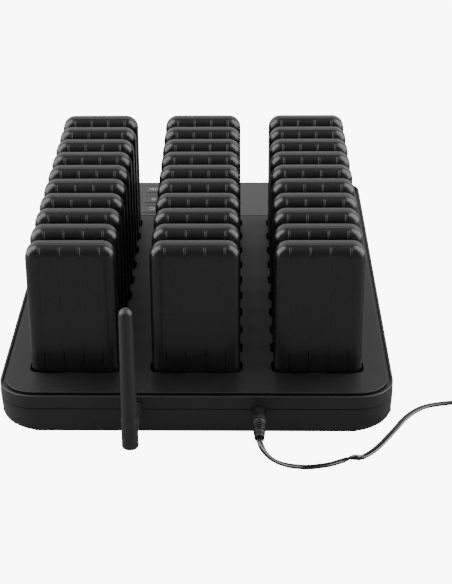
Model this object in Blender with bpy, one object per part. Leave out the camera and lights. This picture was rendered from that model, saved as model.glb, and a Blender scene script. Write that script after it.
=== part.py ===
"""Guest paging set: a charging base that doubles as the transmitter, thirty slab pagers standing
in its pockets, a swivelling rod antenna, and a low-voltage lead with its wall adapter.

Metres, +Z up. The origin is on the surface that the set stands on, under the middle of its box,
the antenna counted in and the lead left out. The operator's keypad is at the +Y end. The antenna
and the power inlet are on the -Y wall.
"""

import math

import bmesh
import bpy
import numpy as np
from mathutils import Matrix, Vector

MM = 0.001
GAP = 0.3 * MM

# Base
BASE_WIDTH = 297.5 * MM
REAR_Y = -188.8 * MM
FRONT_Y = 230.7 * MM
REAR_CORNER = 28 * MM
FRONT_CORNER = 20 * MM
SHELL_BOTTOM = 2.4 * MM
SEAM_Z = 24.2 * MM
RIM_Z = 35 * MM
DECK_Z = 36 * MM
WALL = 2.4 * MM
BOTTOM_FILLET = 6.5 * MM
CORNER_SOFTENING = 8 * MM
RIM_THICKNESS = 1.8 * MM
CHANNEL_FLOOR_Z = 33 * MM
LEDGE_THICKNESS = 2.5 * MM
LEDGE_REACH = 9 * MM
PLATE_BOTTOM = CHANNEL_FLOOR_Z + GAP
PLATE_INSET = 4.4 * MM
KEYPAD_SEAM_Y = 146.2 * MM
LENS_LOW = Vector((62 * MM, 194.5 * MM))
LENS_HIGH = Vector((122 * MM, 214.5 * MM))
FOOT_PLACES = {
    "rear_left": (-118 * MM, -159 * MM), "rear_right": (118 * MM, -159 * MM),
    "front_left": (-118 * MM, 201 * MM), "front_right": (118 * MM, 201 * MM),
}

# Pagers
COLUMNS = {"l": -92.4 * MM, "c": 0.0, "r": 92.4 * MM}
ROWS = 10
ROW_PITCH = 30.3 * MM
FIRST_ROW_Y = -144.1 * MM
PAGER_WIDTH = 67.2 * MM
PAGER_THICKNESS = 18 * MM
PAGER_TOP_Z = 139.6 * MM
PAGER_TOP_CORNER = 10.5 * MM
PAGER_FOOT_CORNER = 4 * MM
BACK_ROUNDING = 6.4 * MM
FACE_ROUNDING = 5 * MM
PAGER_WALL = 1.8 * MM
PART_LINE = -1 * MM
CONTACT_SIZE = Vector((6 * MM, 2.4 * MM, 3.6 * MM))
CONTACT_OFFSET = Vector((10 * MM, 2.2 * MM))
BATTERY_SIZE = Vector((36 * MM, 5 * MM, 50 * MM))
BATTERY_LOW_Z = 62 * MM
MOTOR_RADIUS = 5 * MM
MOTOR_DEPTH = 3 * MM
MOTOR_Z = 46 * MM

# Pockets
POCKET_CLEARANCE = 0.7 * MM
POCKET_FLOOR_Z = 19 * MM
POCKET_WALL = 1.4 * MM
POCKET_CHAMFER = 3.8 * MM
WINDOW = (36 * MM, 7 * MM)
PAGER_FOOT_Z = POCKET_FLOOR_Z + GAP

# Boards
MAIN_BOARD = ((-130 * MM, 154 * MM), (130 * MM, 215 * MM))
MAIN_BOARD_Z = 28 * MM
CHARGE_BOARD_WIDTH = 44 * MM
CHARGE_BOARD_Z = 14.2 * MM
BOARD_THICKNESS = 1.6 * MM
CONTACT_BLOCK = Vector((30 * MM, 4 * MM))
RIB_ROWS = (-130 * MM, -8 * MM, 114 * MM)
POST_PLACES = ((-95 * MM, 180 * MM), (95 * MM, 180 * MM))

# Rear connectors, both centred on the seam between the shells
CONNECTOR_Z = SEAM_Z
INLET_X = 47.4 * MM
NOSE_RADIUS = 5.3 * MM
PLUG_REACH = 40.7 * MM

# Antenna: its elbow turns in a bush, and its rod tilts on a pin through the elbow's tongue
ANTENNA_X = -46.2 * MM
ANTENNA_Y = -224.5 * MM
BUSH_RADIUS = 4.8 * MM
BUSH_BORE = 2.6 * MM
ELBOW_RADIUS = 6.2 * MM
HEEL_CLEARANCE = 12.5 * MM
TONGUE_WIDTH = 4.6 * MM
TONGUE_RADIUS = 3.2 * MM
FORK_SLOT_WIDTH = 5.2 * MM
FORK_FRONT = 3.5 * MM
FORK_ROOF = 4 * MM
KNUCKLE_RADIUS = 6.2 * MM
KNUCKLE_BOTTOM = 13.8 * MM
KNUCKLE_TOP = 38.9 * MM
ROD_TOP = 126.6 * MM
ROD_FOOT_RADIUS = 5.9 * MM
ROD_TOP_RADIUS = 5 * MM
PIN_RADIUS = 1.2 * MM
PIN_LENGTH = 10.8 * MM

# Lead: twin flat cable, 4.6 mm wide and 2.4 mm thick
LEAD_THICKNESS = 2.5 * MM
LEAD_POINT_SPACING = 6 * MM
COIL_CENTRE = Vector((247.2 * MM, -105 * MM, 0))
COIL_RADII = (21.9 * MM, 32.7 * MM)
COIL_HEIGHTS = (0.1 * MM, 9.9 * MM)
RUN_ROUTE = [
    (47.4, -229.9, 24.2), (47.8, -234.4, 23.2), (50.7, -238.4, 19.2), (55.8, -239.2, 13.4),
    (62.2, -237.0, 8.2), (69.3, -233.9, 4.1), (76.8, -232.1, 2.0), (84.6, -231.4, 1.35),
    (97.6, -228.1, 1.35), (106.2, -223.8, 1.35), (113.7, -220.0, 1.35), (122.6, -218.0, 1.35),
    (134.1, -205.9, 1.35), (148.2, -182.5, 1.35), (161.1, -160.2, 1.35), (176.3, -145.5, 1.35),
    (197.7, -139.3, 1.35), (217.2, -136.9, 1.6), (233.0, -136.0, 2.45),
]
TAIL_ROUTE = [
    (278.4, -91.3, 7.2), (278.2, -83.5, 7.7), (276.4, -74.5, 11.0), (273.4, -65.7, 15.6),
    (271.6, -59.9, 17.8), (271.2, -55.8, 18.0),
]

# Wall adapter, lying on its side beyond the coil
ADAPTER_SIZE = Vector((32 * MM, 74 * MM, 44 * MM))
ADAPTER_CENTRE = Vector((271.2 * MM, -8.5 * MM, 22.1 * MM))
BLADE_SIZE = Vector((17 * MM, 1.6 * MM, 6.4 * MM))
BLADE_SPACING = 12.7 * MM

ROUND_SIDES = 16


def clear_scene():
    for item in list(bpy.data.objects):
        bpy.data.objects.remove(item, do_unlink=True)


def material(name, colour, roughness, metallic=0.0):
    found = bpy.data.materials.get(name)
    if found:
        return found
    made = bpy.data.materials.new(name)
    made.use_nodes = True
    shader = made.node_tree.nodes["Principled BSDF"]
    shader.inputs["Base Color"].default_value = (*colour, 1)
    shader.inputs["Roughness"].default_value = roughness
    shader.inputs["Metallic"].default_value = metallic
    return made


def case_plastic():
    return material("case_plastic", (0.022, 0.022, 0.024), 0.38)


def deck_plastic():
    return material("deck_plastic", (0.03, 0.03, 0.032), 0.45)


def overlay_film():
    return material("overlay_film", (0.13, 0.125, 0.13), 0.35)


def pager_plastic():
    return material("pager_plastic", (0.02, 0.02, 0.022), 0.3)


def black_rubber():
    return material("black_rubber", (0.018, 0.018, 0.018), 0.6)


def board_green():
    return material("board_green", (0.01, 0.12, 0.05), 0.5)


def plated_brass():
    return material("plated_brass", (0.75, 0.55, 0.22), 0.25, 1.0)


def bright_steel():
    return material("bright_steel", (0.6, 0.6, 0.6), 0.3, 1.0)


def finish_object(name, mesh, look, sharp_angle=35):
    """Link a mesh as one sub-part, shade it, and give it its material."""
    mesh.materials.clear()
    mesh.materials.append(look)
    mesh.shade_smooth()
    mesh.set_sharp_from_angle(angle=math.radians(sharp_angle))
    made = bpy.data.objects.new(name, mesh)
    bpy.context.collection.objects.link(made)
    return made


def set_origin(made, place):
    """Move an object's origin to a place on its joint's axis, leaving its shape where it is."""
    made.data.transform(Matrix.Translation(-Vector(place)))
    made.location = place
    return made


def mesh_from(bm, name):
    bmesh.ops.recalc_face_normals(bm, faces=bm.faces)
    mesh = bpy.data.meshes.new(name)
    bm.to_mesh(mesh)
    bm.free()
    return mesh


def corner_arc(centre, radius, start, steps):
    """Points of a quarter circle that turns anticlockwise from the start angle, in degrees."""
    if radius < 0.01 * MM:
        return [centre]
    angles = [math.radians(start + 90 * step / steps) for step in range(steps + 1)]
    return [(centre[0] + radius * math.cos(a), centre[1] + radius * math.sin(a)) for a in angles]


def rounded_outline(low, high, radii, steps):
    """Rounded rectangle, anticlockwise from its low corner. Radii and steps go corner by corner."""
    corners = [(low[0], low[1], 1, 1), (high[0], low[1], -1, 1),
               (high[0], high[1], -1, -1), (low[0], high[1], 1, -1)]
    points = []
    for index, (x, y, way_x, way_y) in enumerate(corners):
        radius = radii[index]
        centre = (x + way_x * radius, y + way_y * radius)
        points += corner_arc(centre, radius, 180 + 90 * index, steps[index])
    return points


def base_outline(inset, low_y=None, steps=6, softening=0.0):
    """The base's outline in plan, drawn in by the inset. low_y cuts it square at that line."""
    half = BASE_WIDTH / 2 - inset
    rear = REAR_Y + inset
    front = FRONT_Y - inset
    rear_radius = REAR_CORNER - inset + softening
    if low_y is not None:
        rear = low_y
        rear_radius = 0
    front_radius = FRONT_CORNER - inset + softening
    radii = (rear_radius, rear_radius, front_radius, front_radius)
    return rounded_outline((-half, rear), (half, front), radii, (steps,) * 4)


def skin_rings(name, rings, looped=False):
    """Closed body through rings of equal length. Looped joins the last ring to the first."""
    bm = bmesh.new()
    loops = [[bm.verts.new(point) for point in ring] for ring in rings]
    pairs = list(zip(loops, loops[1:]))
    if looped:
        pairs.append((loops[-1], loops[0]))
    for lower, upper in pairs:
        count = len(lower)
        for i in range(count):
            j = (i + 1) % count
            bm.faces.new((lower[i], lower[j], upper[j], upper[i]))
    if not looped:
        bm.faces.new(loops[0])
        bm.faces.new(loops[-1])
    return mesh_from(bm, name)


def box_mesh(name, low, high):
    bm = bmesh.new()
    bmesh.ops.create_cube(bm, size=1)
    size = Vector(high) - Vector(low)
    bmesh.ops.scale(bm, vec=size, verts=bm.verts)
    bmesh.ops.translate(bm, vec=(Vector(high) + Vector(low)) / 2, verts=bm.verts)
    return mesh_from(bm, name)


def turned_mesh(name, profile, axis, place, sides=ROUND_SIDES, looped=False):
    """Solid of revolution. The profile is (radius, distance along the axis), both from place."""
    bm = bmesh.new()
    verts = [bm.verts.new((radius, 0, along)) for radius, along in profile]
    for first, second in zip(verts, verts[1:]):
        bm.edges.new((first, second))
    if looped:
        bm.edges.new((verts[-1], verts[0]))
    bmesh.ops.spin(bm, geom=list(bm.verts) + list(bm.edges), cent=(0, 0, 0), axis=(0, 0, 1),
                   angle=2 * math.pi, steps=sides, use_merge=True)
    bmesh.ops.remove_doubles(bm, verts=bm.verts, dist=0.001 * MM)
    turn = Vector((0, 0, 1)).rotation_difference(Vector(axis)).to_matrix().to_4x4()
    bmesh.ops.transform(bm, matrix=Matrix.Translation(place) @ turn, verts=bm.verts)
    return mesh_from(bm, name)


def cutter(name, mesh):
    """A helper solid for a Boolean, which isn't part of the object."""
    made = bpy.data.objects.new(name, mesh)
    bpy.context.collection.objects.link(made)
    made.hide_render = True
    made.display_type = "WIRE"
    return made


def boolean(target, tool, operation):
    change = target.modifiers.new(f"{operation.lower()}_{tool.name}", "BOOLEAN")
    change.object = tool
    change.operation = operation
    change.solver = "EXACT"


def row_y(row):
    return FIRST_ROW_Y + ROW_PITCH * row


def pager_ring(column_x, y, inset, wall=0.0):
    """The pager's outline in the XZ plane at one Y, drawn in by the rounding and by a wall."""
    draw_in = inset + wall
    half = PAGER_WIDTH / 2 - draw_in
    low = (column_x - half, PAGER_FOOT_Z + draw_in)
    high = (column_x + half, PAGER_TOP_Z - draw_in)
    foot = max(PAGER_FOOT_CORNER - draw_in * 0.5, 1 * MM)
    top = max(PAGER_TOP_CORNER - draw_in * 0.7, 2 * MM)
    outline = rounded_outline(low, high, (foot, foot, top, top), (1, 1, 3, 3))
    return [(x, y, z) for x, z in outline]


def edge_steps(radius, steps=2):
    """(inset, distance from the flat face) along a quarter-round edge, face first."""
    turns = [math.radians(90 * step / steps) for step in range(steps + 1)]
    return [(radius * (1 - math.sin(a)), radius * (1 - math.cos(a))) for a in turns]


def whole_pager(name, column_x, middle_y):
    """One pager as a single solid: both half shells and what they hold."""
    back = middle_y - PAGER_THICKNESS / 2
    face = middle_y + PAGER_THICKNESS / 2
    rings = [pager_ring(column_x, back + d, inset) for inset, d in edge_steps(BACK_ROUNDING)]
    rings += [pager_ring(column_x, face - d, inset)
              for inset, d in reversed(edge_steps(FACE_ROUNDING))]
    made = finish_object(name, skin_rings(name, rings), pager_plastic())
    return set_origin(made, (column_x, middle_y, PAGER_FOOT_Z))


def half_shell(name, column_x, flat_y, part_y, rounding, way):
    """A pager's half shell. way is +1 where the flat face looks along -Y, -1 where along +Y."""
    outer = [pager_ring(column_x, flat_y + way * d, inset) for inset, d in edge_steps(rounding)]
    inner_rounding = rounding - PAGER_WALL
    inner = [pager_ring(column_x, flat_y + way * (PAGER_WALL + d), inset, PAGER_WALL)
             for inset, d in edge_steps(inner_rounding)]
    rings = outer + [pager_ring(column_x, part_y, 0)]
    rings += [pager_ring(column_x, part_y, 0, PAGER_WALL)] + inner[::-1]
    return finish_object(name, skin_rings(name, rings), pager_plastic())


def opened_pager(prefix, column_x, middle_y):
    """The pager whose pieces are modelled: half shells, board, battery, motor and contacts."""
    part_y = middle_y + PART_LINE
    back_shell = half_shell(f"{prefix}_back_shell", column_x, middle_y - PAGER_THICKNESS / 2,
                            part_y - GAP / 2, BACK_ROUNDING, 1)
    face_shell = half_shell(f"{prefix}_face_shell", column_x, middle_y + PAGER_THICKNESS / 2,
                            part_y + GAP / 2, FACE_ROUNDING, -1)
    pieces = [back_shell, face_shell]

    contact_y = middle_y + CONTACT_OFFSET.y
    spare = Vector((GAP, GAP, 5 * GAP))
    for side, offset in (("left", -CONTACT_OFFSET.x), ("right", CONTACT_OFFSET.x)):
        centre_x = column_x + offset
        low = Vector((centre_x - CONTACT_SIZE.x / 2, contact_y - CONTACT_SIZE.y / 2, PAGER_FOOT_Z))
        high = low + CONTACT_SIZE
        hole = cutter(f"{prefix}_hole_{side}",
                      box_mesh("contact_hole", low - spare, high + spare))
        pieces.append(hole)
        boolean(face_shell, hole, "DIFFERENCE")
        name = f"{prefix}_contact_{side}"
        pieces.append(finish_object(name, box_mesh(name, low, high), plated_brass()))

    half_board = PAGER_WIDTH / 2 - PAGER_WALL - GAP
    board_y = middle_y - 0.3 * MM
    part_z = middle_y + 1.2 * MM
    board = box_mesh("board", (column_x - half_board, board_y, 30 * MM),
                     (column_x + half_board, board_y + 1.2 * MM, 126 * MM))
    pieces.append(finish_object(f"{prefix}_board", board, board_green()))
    battery = box_mesh("battery", (column_x - BATTERY_SIZE.x / 2, part_z, BATTERY_LOW_Z),
                       (column_x + BATTERY_SIZE.x / 2, part_z + BATTERY_SIZE.y,
                        BATTERY_LOW_Z + BATTERY_SIZE.z))
    pieces.append(finish_object(f"{prefix}_battery", battery,
                                material("battery_foil", (0.55, 0.56, 0.58), 0.35, 0.6)))
    motor_profile = [(0, 0), (MOTOR_RADIUS, 0), (MOTOR_RADIUS, MOTOR_DEPTH), (0, MOTOR_DEPTH)]
    motor = turned_mesh("motor", motor_profile, (0, 1, 0),
                        (column_x - 19 * MM, part_z, MOTOR_Z))
    pieces.append(finish_object(f"{prefix}_vibration_motor", motor, bright_steel()))
    for piece in pieces:
        set_origin(piece, (column_x, middle_y, PAGER_FOOT_Z))


def build_pagers():
    for letter, column_x in COLUMNS.items():
        for row in range(ROWS):
            name = f"pager_{letter}{row + 1:02d}"
            if name == "pager_c01":
                opened_pager(name, column_x, row_y(row))
            else:
                whole_pager(name, column_x, row_y(row))


def build_lower_shell():
    """Tray with a rounded lower edge, board ribs and a half opening for each connector."""
    def ring(inset, z):
        softening = CORNER_SOFTENING * (SEAM_Z - z) / (SEAM_Z - SHELL_BOTTOM)
        return [(x, y, z) for x, y in base_outline(inset, softening=softening)]

    rings = [ring(inset, SHELL_BOTTOM + rise) for inset, rise in edge_steps(BOTTOM_FILLET, 4)]
    rings += [ring(0, SEAM_Z - GAP / 2), ring(WALL, SEAM_Z - GAP / 2)]
    inner = BOTTOM_FILLET - WALL
    rings += [ring(WALL + inset, SHELL_BOTTOM + WALL + rise)
              for inset, rise in reversed(edge_steps(inner, 3))]
    shell = finish_object("lower_shell", skin_rings("lower_shell", rings), case_plastic())

    floor_z = SHELL_BOTTOM + WALL / 2
    for index, rib_y in enumerate(RIB_ROWS):
        low = (-118 * MM, rib_y - 1 * MM, floor_z)
        high = (118 * MM, rib_y + 1 * MM, CHARGE_BOARD_Z - GAP)
        boolean(shell, cutter(f"rib_{index}", box_mesh("rib", low, high)), "UNION")
    half_post = 3 * MM
    for index, (x, y) in enumerate(POST_PLACES):
        low = (x - half_post, y - half_post, floor_z)
        high = (x + half_post, y + half_post, MAIN_BOARD_Z - GAP)
        boolean(shell, cutter(f"post_{index}", box_mesh("post", low, high)), "UNION")
    return shell


def build_upper_shell():
    """Rim band with the ledge that carries the deck and the control panel."""
    ledge_low = CHANNEL_FLOOR_Z - LEDGE_THICKNESS
    profile = [
        (0, SEAM_Z + GAP / 2), (0, RIM_Z - 0.6 * MM), (0.6 * MM, RIM_Z), (RIM_THICKNESS, RIM_Z),
        (RIM_THICKNESS, CHANNEL_FLOOR_Z), (LEDGE_REACH, CHANNEL_FLOOR_Z),
        (LEDGE_REACH, ledge_low), (WALL, ledge_low), (WALL, SEAM_Z + GAP / 2),
    ]
    rings = [[(x, y, z) for x, y in base_outline(inset)] for inset, z in profile]
    mesh = skin_rings("upper_shell", rings, looped=True)
    return finish_object("upper_shell", mesh, case_plastic())


def cut_connector_openings(shells):
    openings = {"antenna": (ANTENNA_X, BUSH_RADIUS + GAP), "inlet": (INLET_X, NOSE_RADIUS + GAP)}
    for name, (x, radius) in openings.items():
        profile = [(0, -6 * MM), (radius, -6 * MM), (radius, 6 * MM), (0, 6 * MM)]
        mesh = turned_mesh(f"{name}_opening", profile, (0, 1, 0), (x, REAR_Y, CONNECTOR_Z))
        hole = cutter(f"{name}_opening", mesh)
        for shell in shells:
            boolean(shell, hole, "DIFFERENCE")


def pocket_outline(column_x, middle_y, spread):
    """A pocket's outline in plan, with its corners cut at 45 degrees."""
    half_x = PAGER_WIDTH / 2 + POCKET_CLEARANCE + spread
    half_y = PAGER_THICKNESS / 2 + POCKET_CLEARANCE + spread
    cut = POCKET_CHAMFER + spread * 0.6
    return rounded_outline((column_x - half_x, middle_y - half_y),
                           (column_x + half_x, middle_y + half_y), (cut,) * 4, (1,) * 4)


def plan_loop(bm, outline, z):
    return [bm.verts.new((x, y, z)) for x, y in outline]


def loop_edges(bm, loop):
    return [bm.edges.get(pair) or bm.edges.new(pair) for pair in zip(loop, loop[1:] + loop[:1])]


def wall_between(bm, lower, upper):
    count = len(lower)
    for i in range(count):
        j = (i + 1) % count
        bm.faces.new((lower[i], lower[j], upper[j], upper[i]))


def fill_flat(bm, loops):
    """Triangulated flat face between an outer loop and the loops inside it."""
    edges = [edge for loop in loops for edge in loop_edges(bm, loop)]
    bmesh.ops.triangle_fill(bm, use_beauty=True, use_dissolve=False, edges=edges)


def build_deck():
    """Top plate with thirty pockets, each a cup with a contact window in its floor."""
    half = BASE_WIDTH / 2 - PLATE_INSET
    corner = REAR_CORNER - PLATE_INSET
    outline = rounded_outline((-half, REAR_Y + PLATE_INSET), (half, KEYPAD_SEAM_Y - GAP / 2),
                              (corner, corner, 0, 0), (6, 6, 1, 1))
    bm = bmesh.new()
    top = plan_loop(bm, outline, DECK_Z)
    bottom = plan_loop(bm, outline, PLATE_BOTTOM)
    wall_between(bm, bottom, top)
    mouths, collars = [], []
    for column_x in COLUMNS.values():
        for row in range(ROWS):
            middle_y = row_y(row)
            inside = pocket_outline(column_x, middle_y, 0)
            outside = pocket_outline(column_x, middle_y, POCKET_WALL)
            half_window = Vector(WINDOW) / 2
            window = rounded_outline((column_x - half_window.x, middle_y - half_window.y),
                                     (column_x + half_window.x, middle_y + half_window.y),
                                     (0,) * 4, (1,) * 4)
            mouth = plan_loop(bm, inside, DECK_Z)
            floor = plan_loop(bm, inside, POCKET_FLOOR_Z)
            window_top = plan_loop(bm, window, POCKET_FLOOR_Z)
            window_low = plan_loop(bm, window, POCKET_FLOOR_Z - POCKET_WALL)
            under = plan_loop(bm, outside, POCKET_FLOOR_Z - POCKET_WALL)
            collar = plan_loop(bm, outside, PLATE_BOTTOM)
            wall_between(bm, floor, mouth)
            wall_between(bm, window_low, window_top)
            wall_between(bm, under, collar)
            fill_flat(bm, [floor, window_top])
            fill_flat(bm, [under, window_low])
            mouths.append(mouth)
            collars.append(collar)
    fill_flat(bm, [top] + mouths)
    fill_flat(bm, [bottom] + collars)
    return finish_object("deck", mesh_from(bm, "deck"), deck_plastic())


def build_control_panel():
    """Flat membrane panel at the operator's end, with the display's lens let into it."""
    outline = base_outline(PLATE_INSET, low_y=KEYPAD_SEAM_Y + GAP / 2, steps=5)
    edge = Vector((GAP, GAP))
    opening = rounded_outline(LENS_LOW - edge, LENS_HIGH + edge, (0,) * 4, (1,) * 4)
    bm = bmesh.new()
    loops = []
    for z in (PLATE_BOTTOM, DECK_Z):
        outer = plan_loop(bm, outline, z)
        inner = plan_loop(bm, opening, z)
        fill_flat(bm, [outer, inner])
        loops.append((outer, inner))
    wall_between(bm, loops[0][0], loops[1][0])
    wall_between(bm, loops[0][1], loops[1][1])
    finish_object("control_panel", mesh_from(bm, "control_panel"), overlay_film())
    lens = box_mesh("display_lens", (*LENS_LOW, PLATE_BOTTOM), (*LENS_HIGH, DECK_Z - 0.2 * MM))
    finish_object("display_lens", lens, material("smoked_lens", (0.01, 0.01, 0.012), 0.1))


def build_boards():
    """The control board under the panel, and one charging board under each column."""
    low, high = MAIN_BOARD
    main_board = box_mesh("main_board", (*low, MAIN_BOARD_Z),
                          (*high, MAIN_BOARD_Z + BOARD_THICKNESS))
    finish_object("main_board", main_board, board_green())
    names = {"l": "charge_board_left", "c": "charge_board_centre", "r": "charge_board_right"}
    half_width = CHARGE_BOARD_WIDTH / 2
    half_block = CONTACT_BLOCK / 2
    for letter, column_x in COLUMNS.items():
        name = names[letter]
        low = (column_x - half_width, row_y(0) - 12 * MM, CHARGE_BOARD_Z)
        high = (column_x + half_width, row_y(ROWS - 1) + 12 * MM, CHARGE_BOARD_Z + BOARD_THICKNESS)
        board = finish_object(name, box_mesh(name, low, high), board_green())
        for row in range(ROWS):
            block_low = (column_x - half_block.x, row_y(row) - half_block.y, CHARGE_BOARD_Z + 1 * MM)
            block_high = (column_x + half_block.x, row_y(row) + half_block.y, POCKET_FLOOR_Z)
            block = cutter(f"{name}_block_{row}", box_mesh("block", block_low, block_high))
            boolean(board, block, "UNION")


def build_feet():
    top = SHELL_BOTTOM - GAP
    profile = [(0, 0), (6.2 * MM, 0), (7 * MM, top * 0.5), (7 * MM, top), (0, top)]
    for corner, (x, y) in FOOT_PLACES.items():
        name = f"foot_{corner}"
        finish_object(name, turned_mesh(name, profile, (0, 0, 1), (x, y, 0)), black_rubber())


def from_wall(profile):
    """Radius and distance pairs in millimetres, outward from the rear wall."""
    return [(radius * MM, distance * MM) for radius, distance in profile]


def build_antenna():
    """Rod antenna that folds on a pin, on an elbow that turns in a bush through the rear wall."""
    seat = (ANTENNA_X, REAR_Y, CONNECTOR_Z)
    pivot = (ANTENNA_X, ANTENNA_Y, CONNECTOR_Z)
    bore = BUSH_BORE / MM
    shank = BUSH_RADIUS / MM
    bush = from_wall([(bore, 2.3), (7.2, 2.3), (7.2, 0.3), (shank, 0.3),
                      (shank, -2.7), (5.9, -2.7), (5.9, -7), (bore, -7)])
    finish_object("antenna_bush", turned_mesh("antenna_bush", bush, (0, -1, 0), seat, looped=True),
                  material("bush_nickel", (0.35, 0.35, 0.36), 0.35, 1.0))

    spigot = bore - 0.3
    elbow = ELBOW_RADIUS / MM
    heel = (REAR_Y - ANTENNA_Y - HEEL_CLEARANCE) / MM
    profile = from_wall([(0, -6.5), (spigot, -6.5), (spigot, 2.6), (elbow, 2.6),
                         (elbow, heel - 0.8), (elbow - 0.8, heel), (0, heel)])
    stub = finish_object("antenna_elbow", turned_mesh("antenna_elbow", profile, (0, -1, 0), seat),
                         black_rubber())
    half_tongue = TONGUE_WIDTH / 2
    tongue = box_mesh("tongue", (ANTENNA_X - half_tongue, ANTENNA_Y, CONNECTOR_Z - TONGUE_RADIUS),
                      (ANTENNA_X + half_tongue, ANTENNA_Y + HEEL_CLEARANCE + 2 * MM,
                       CONNECTOR_Z + TONGUE_RADIUS))
    boolean(stub, cutter("tongue", tongue), "UNION")
    eye = [(0, -half_tongue), (TONGUE_RADIUS, -half_tongue), (TONGUE_RADIUS, half_tongue),
           (0, half_tongue)]
    boolean(stub, cutter("tongue_eye", turned_mesh("tongue_eye", eye, (1, 0, 0), pivot)), "UNION")

    post = (ANTENNA_X, ANTENNA_Y, 0)
    profile = [(0, KNUCKLE_BOTTOM), (KNUCKLE_RADIUS - 0.6 * MM, KNUCKLE_BOTTOM),
               (KNUCKLE_RADIUS, KNUCKLE_BOTTOM + 0.8 * MM), (KNUCKLE_RADIUS, KNUCKLE_TOP),
               (0, KNUCKLE_TOP)]
    knuckle = finish_object("antenna_knuckle",
                            turned_mesh("antenna_knuckle", profile, (0, 0, 1), post), black_rubber())
    half_slot = FORK_SLOT_WIDTH / 2
    slot = box_mesh("fork_slot",
                    (ANTENNA_X - half_slot, ANTENNA_Y - FORK_FRONT, KNUCKLE_BOTTOM - 5 * MM),
                    (ANTENNA_X + half_slot, ANTENNA_Y + 10 * MM, CONNECTOR_Z + FORK_ROOF))
    boolean(knuckle, cutter("fork_slot", slot), "DIFFERENCE")

    hole = [(0, -9 * MM), (PIN_RADIUS + GAP, -9 * MM), (PIN_RADIUS + GAP, 9 * MM), (0, 9 * MM)]
    pin_hole = cutter("pin_hole", turned_mesh("pin_hole", hole, (1, 0, 0), pivot, sides=12))
    boolean(stub, pin_hole, "DIFFERENCE")
    boolean(knuckle, pin_hole, "DIFFERENCE")
    half_pin = PIN_LENGTH / 2
    pin = [(0, -half_pin), (PIN_RADIUS, -half_pin), (PIN_RADIUS, half_pin), (0, half_pin)]
    pin = finish_object("antenna_pin", turned_mesh("antenna_pin", pin, (1, 0, 0), pivot, sides=12),
                        bright_steel())

    sleeve_low = KNUCKLE_TOP + GAP
    dome_base = ROD_TOP - ROD_TOP_RADIUS
    angles = [math.radians(a) for a in (0, 30, 60, 90)]
    dome = [(ROD_TOP_RADIUS * math.cos(a), dome_base + ROD_TOP_RADIUS * math.sin(a))
            for a in angles]
    profile = [(0, sleeve_low), (ROD_FOOT_RADIUS, sleeve_low)] + dome
    sleeve = finish_object("antenna_sleeve",
                           turned_mesh("antenna_sleeve", profile, (0, 0, 1), post), black_rubber())
    for piece in (stub, pin, knuckle, sleeve):
        set_origin(piece, pivot)


def build_power_inlet():
    """Barrel jack on the rear wall, and the plug that stands in it."""
    seat = (INLET_X, REAR_Y, CONNECTOR_Z)
    nose = NOSE_RADIUS / MM
    jack = from_wall([(0, -16), (5.9, -16), (5.9, -2.7), (nose, -2.7), (nose, 0),
                      (3.1, 0), (3.1, -11.5), (1.0, -11.5), (1.0, -1.5), (0, -1.5)])
    finish_object("power_jack", turned_mesh("power_jack", jack, (0, -1, 0), seat),
                  material("jack_nylon", (0.02, 0.02, 0.02), 0.5))
    end = PLUG_REACH / MM
    plug = from_wall([(1.35, 0.3), (1.35, -9.5), (2.75, -9.5), (2.75, 0.3), (4.1, 0.3),
                      (4.1, 9), (5.15, 15), (5.15, 20.5), (4.7, 22), (4.25, 37),
                      (3.2, end), (0, end), (0, 2)])
    plug = finish_object("power_plug",
                         turned_mesh("power_plug", plug, (0, -1, 0), seat, looped=True),
                         black_rubber())
    set_origin(plug, seat)


def smooth_route(points, spacing):
    """Points at even steps along a smooth curve through the route's own points."""
    route = [Vector(point) * MM for point in points]
    ends = [2 * route[0] - route[1]] + route + [2 * route[-1] - route[-2]]
    fine = []
    for before, start, end, after in zip(ends, ends[1:], ends[2:], ends[3:]):
        for step in range(12):
            t = step / 12
            fine.append(0.5 * (2 * start + (end - before) * t
                               + (2 * before - 5 * start + 4 * end - after) * t ** 2
                               + (3 * start - before - 3 * end + after) * t ** 3))
    fine.append(route[-1])
    lengths = np.array([0] + [(b - a).length for a, b in zip(fine, fine[1:])]).cumsum()
    count = max(2, round(lengths[-1] / spacing)) + 1
    wanted = np.linspace(0, lengths[-1], count)
    axes = [np.interp(wanted, lengths, [p[k] for p in fine]) for k in range(3)]
    return [Vector(point) for point in zip(*axes)]


def cable(name, route):
    """Plain round tube along a route, with closed ends."""
    curve = bpy.data.curves.new(name, "CURVE")
    curve.dimensions = "3D"
    curve.bevel_depth = LEAD_THICKNESS / 2
    curve.bevel_resolution = 2
    curve.use_fill_caps = True
    points = smooth_route(route, LEAD_POINT_SPACING)
    spline = curve.splines.new("POLY")
    spline.points.add(len(points) - 1)
    for slot, point in zip(spline.points, points):
        slot.co = (*point, 1)
    made = bpy.data.objects.new(name, curve)
    curve.materials.append(material("lead_pvc", (0.012, 0.012, 0.014), 0.2))
    bpy.context.collection.objects.link(made)
    return made


def build_lead():
    """The lead's run to the coil, the coil of its spare length, and its tail to the adapter."""
    cable("lead_run", RUN_ROUTE)
    cable("lead_tail", TAIL_ROUTE)
    (inner, outer), (low, high) = COIL_RADII, COIL_HEIGHTS
    profile = [(outer, low), (outer, high), (inner, high), (inner, low)]
    coil = turned_mesh("lead_coil", profile, (0, 0, 1), COIL_CENTRE, sides=28, looped=True)
    finish_object("lead_coil", coil, material("lead_pvc", (0.012, 0.012, 0.014), 0.2))


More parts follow.
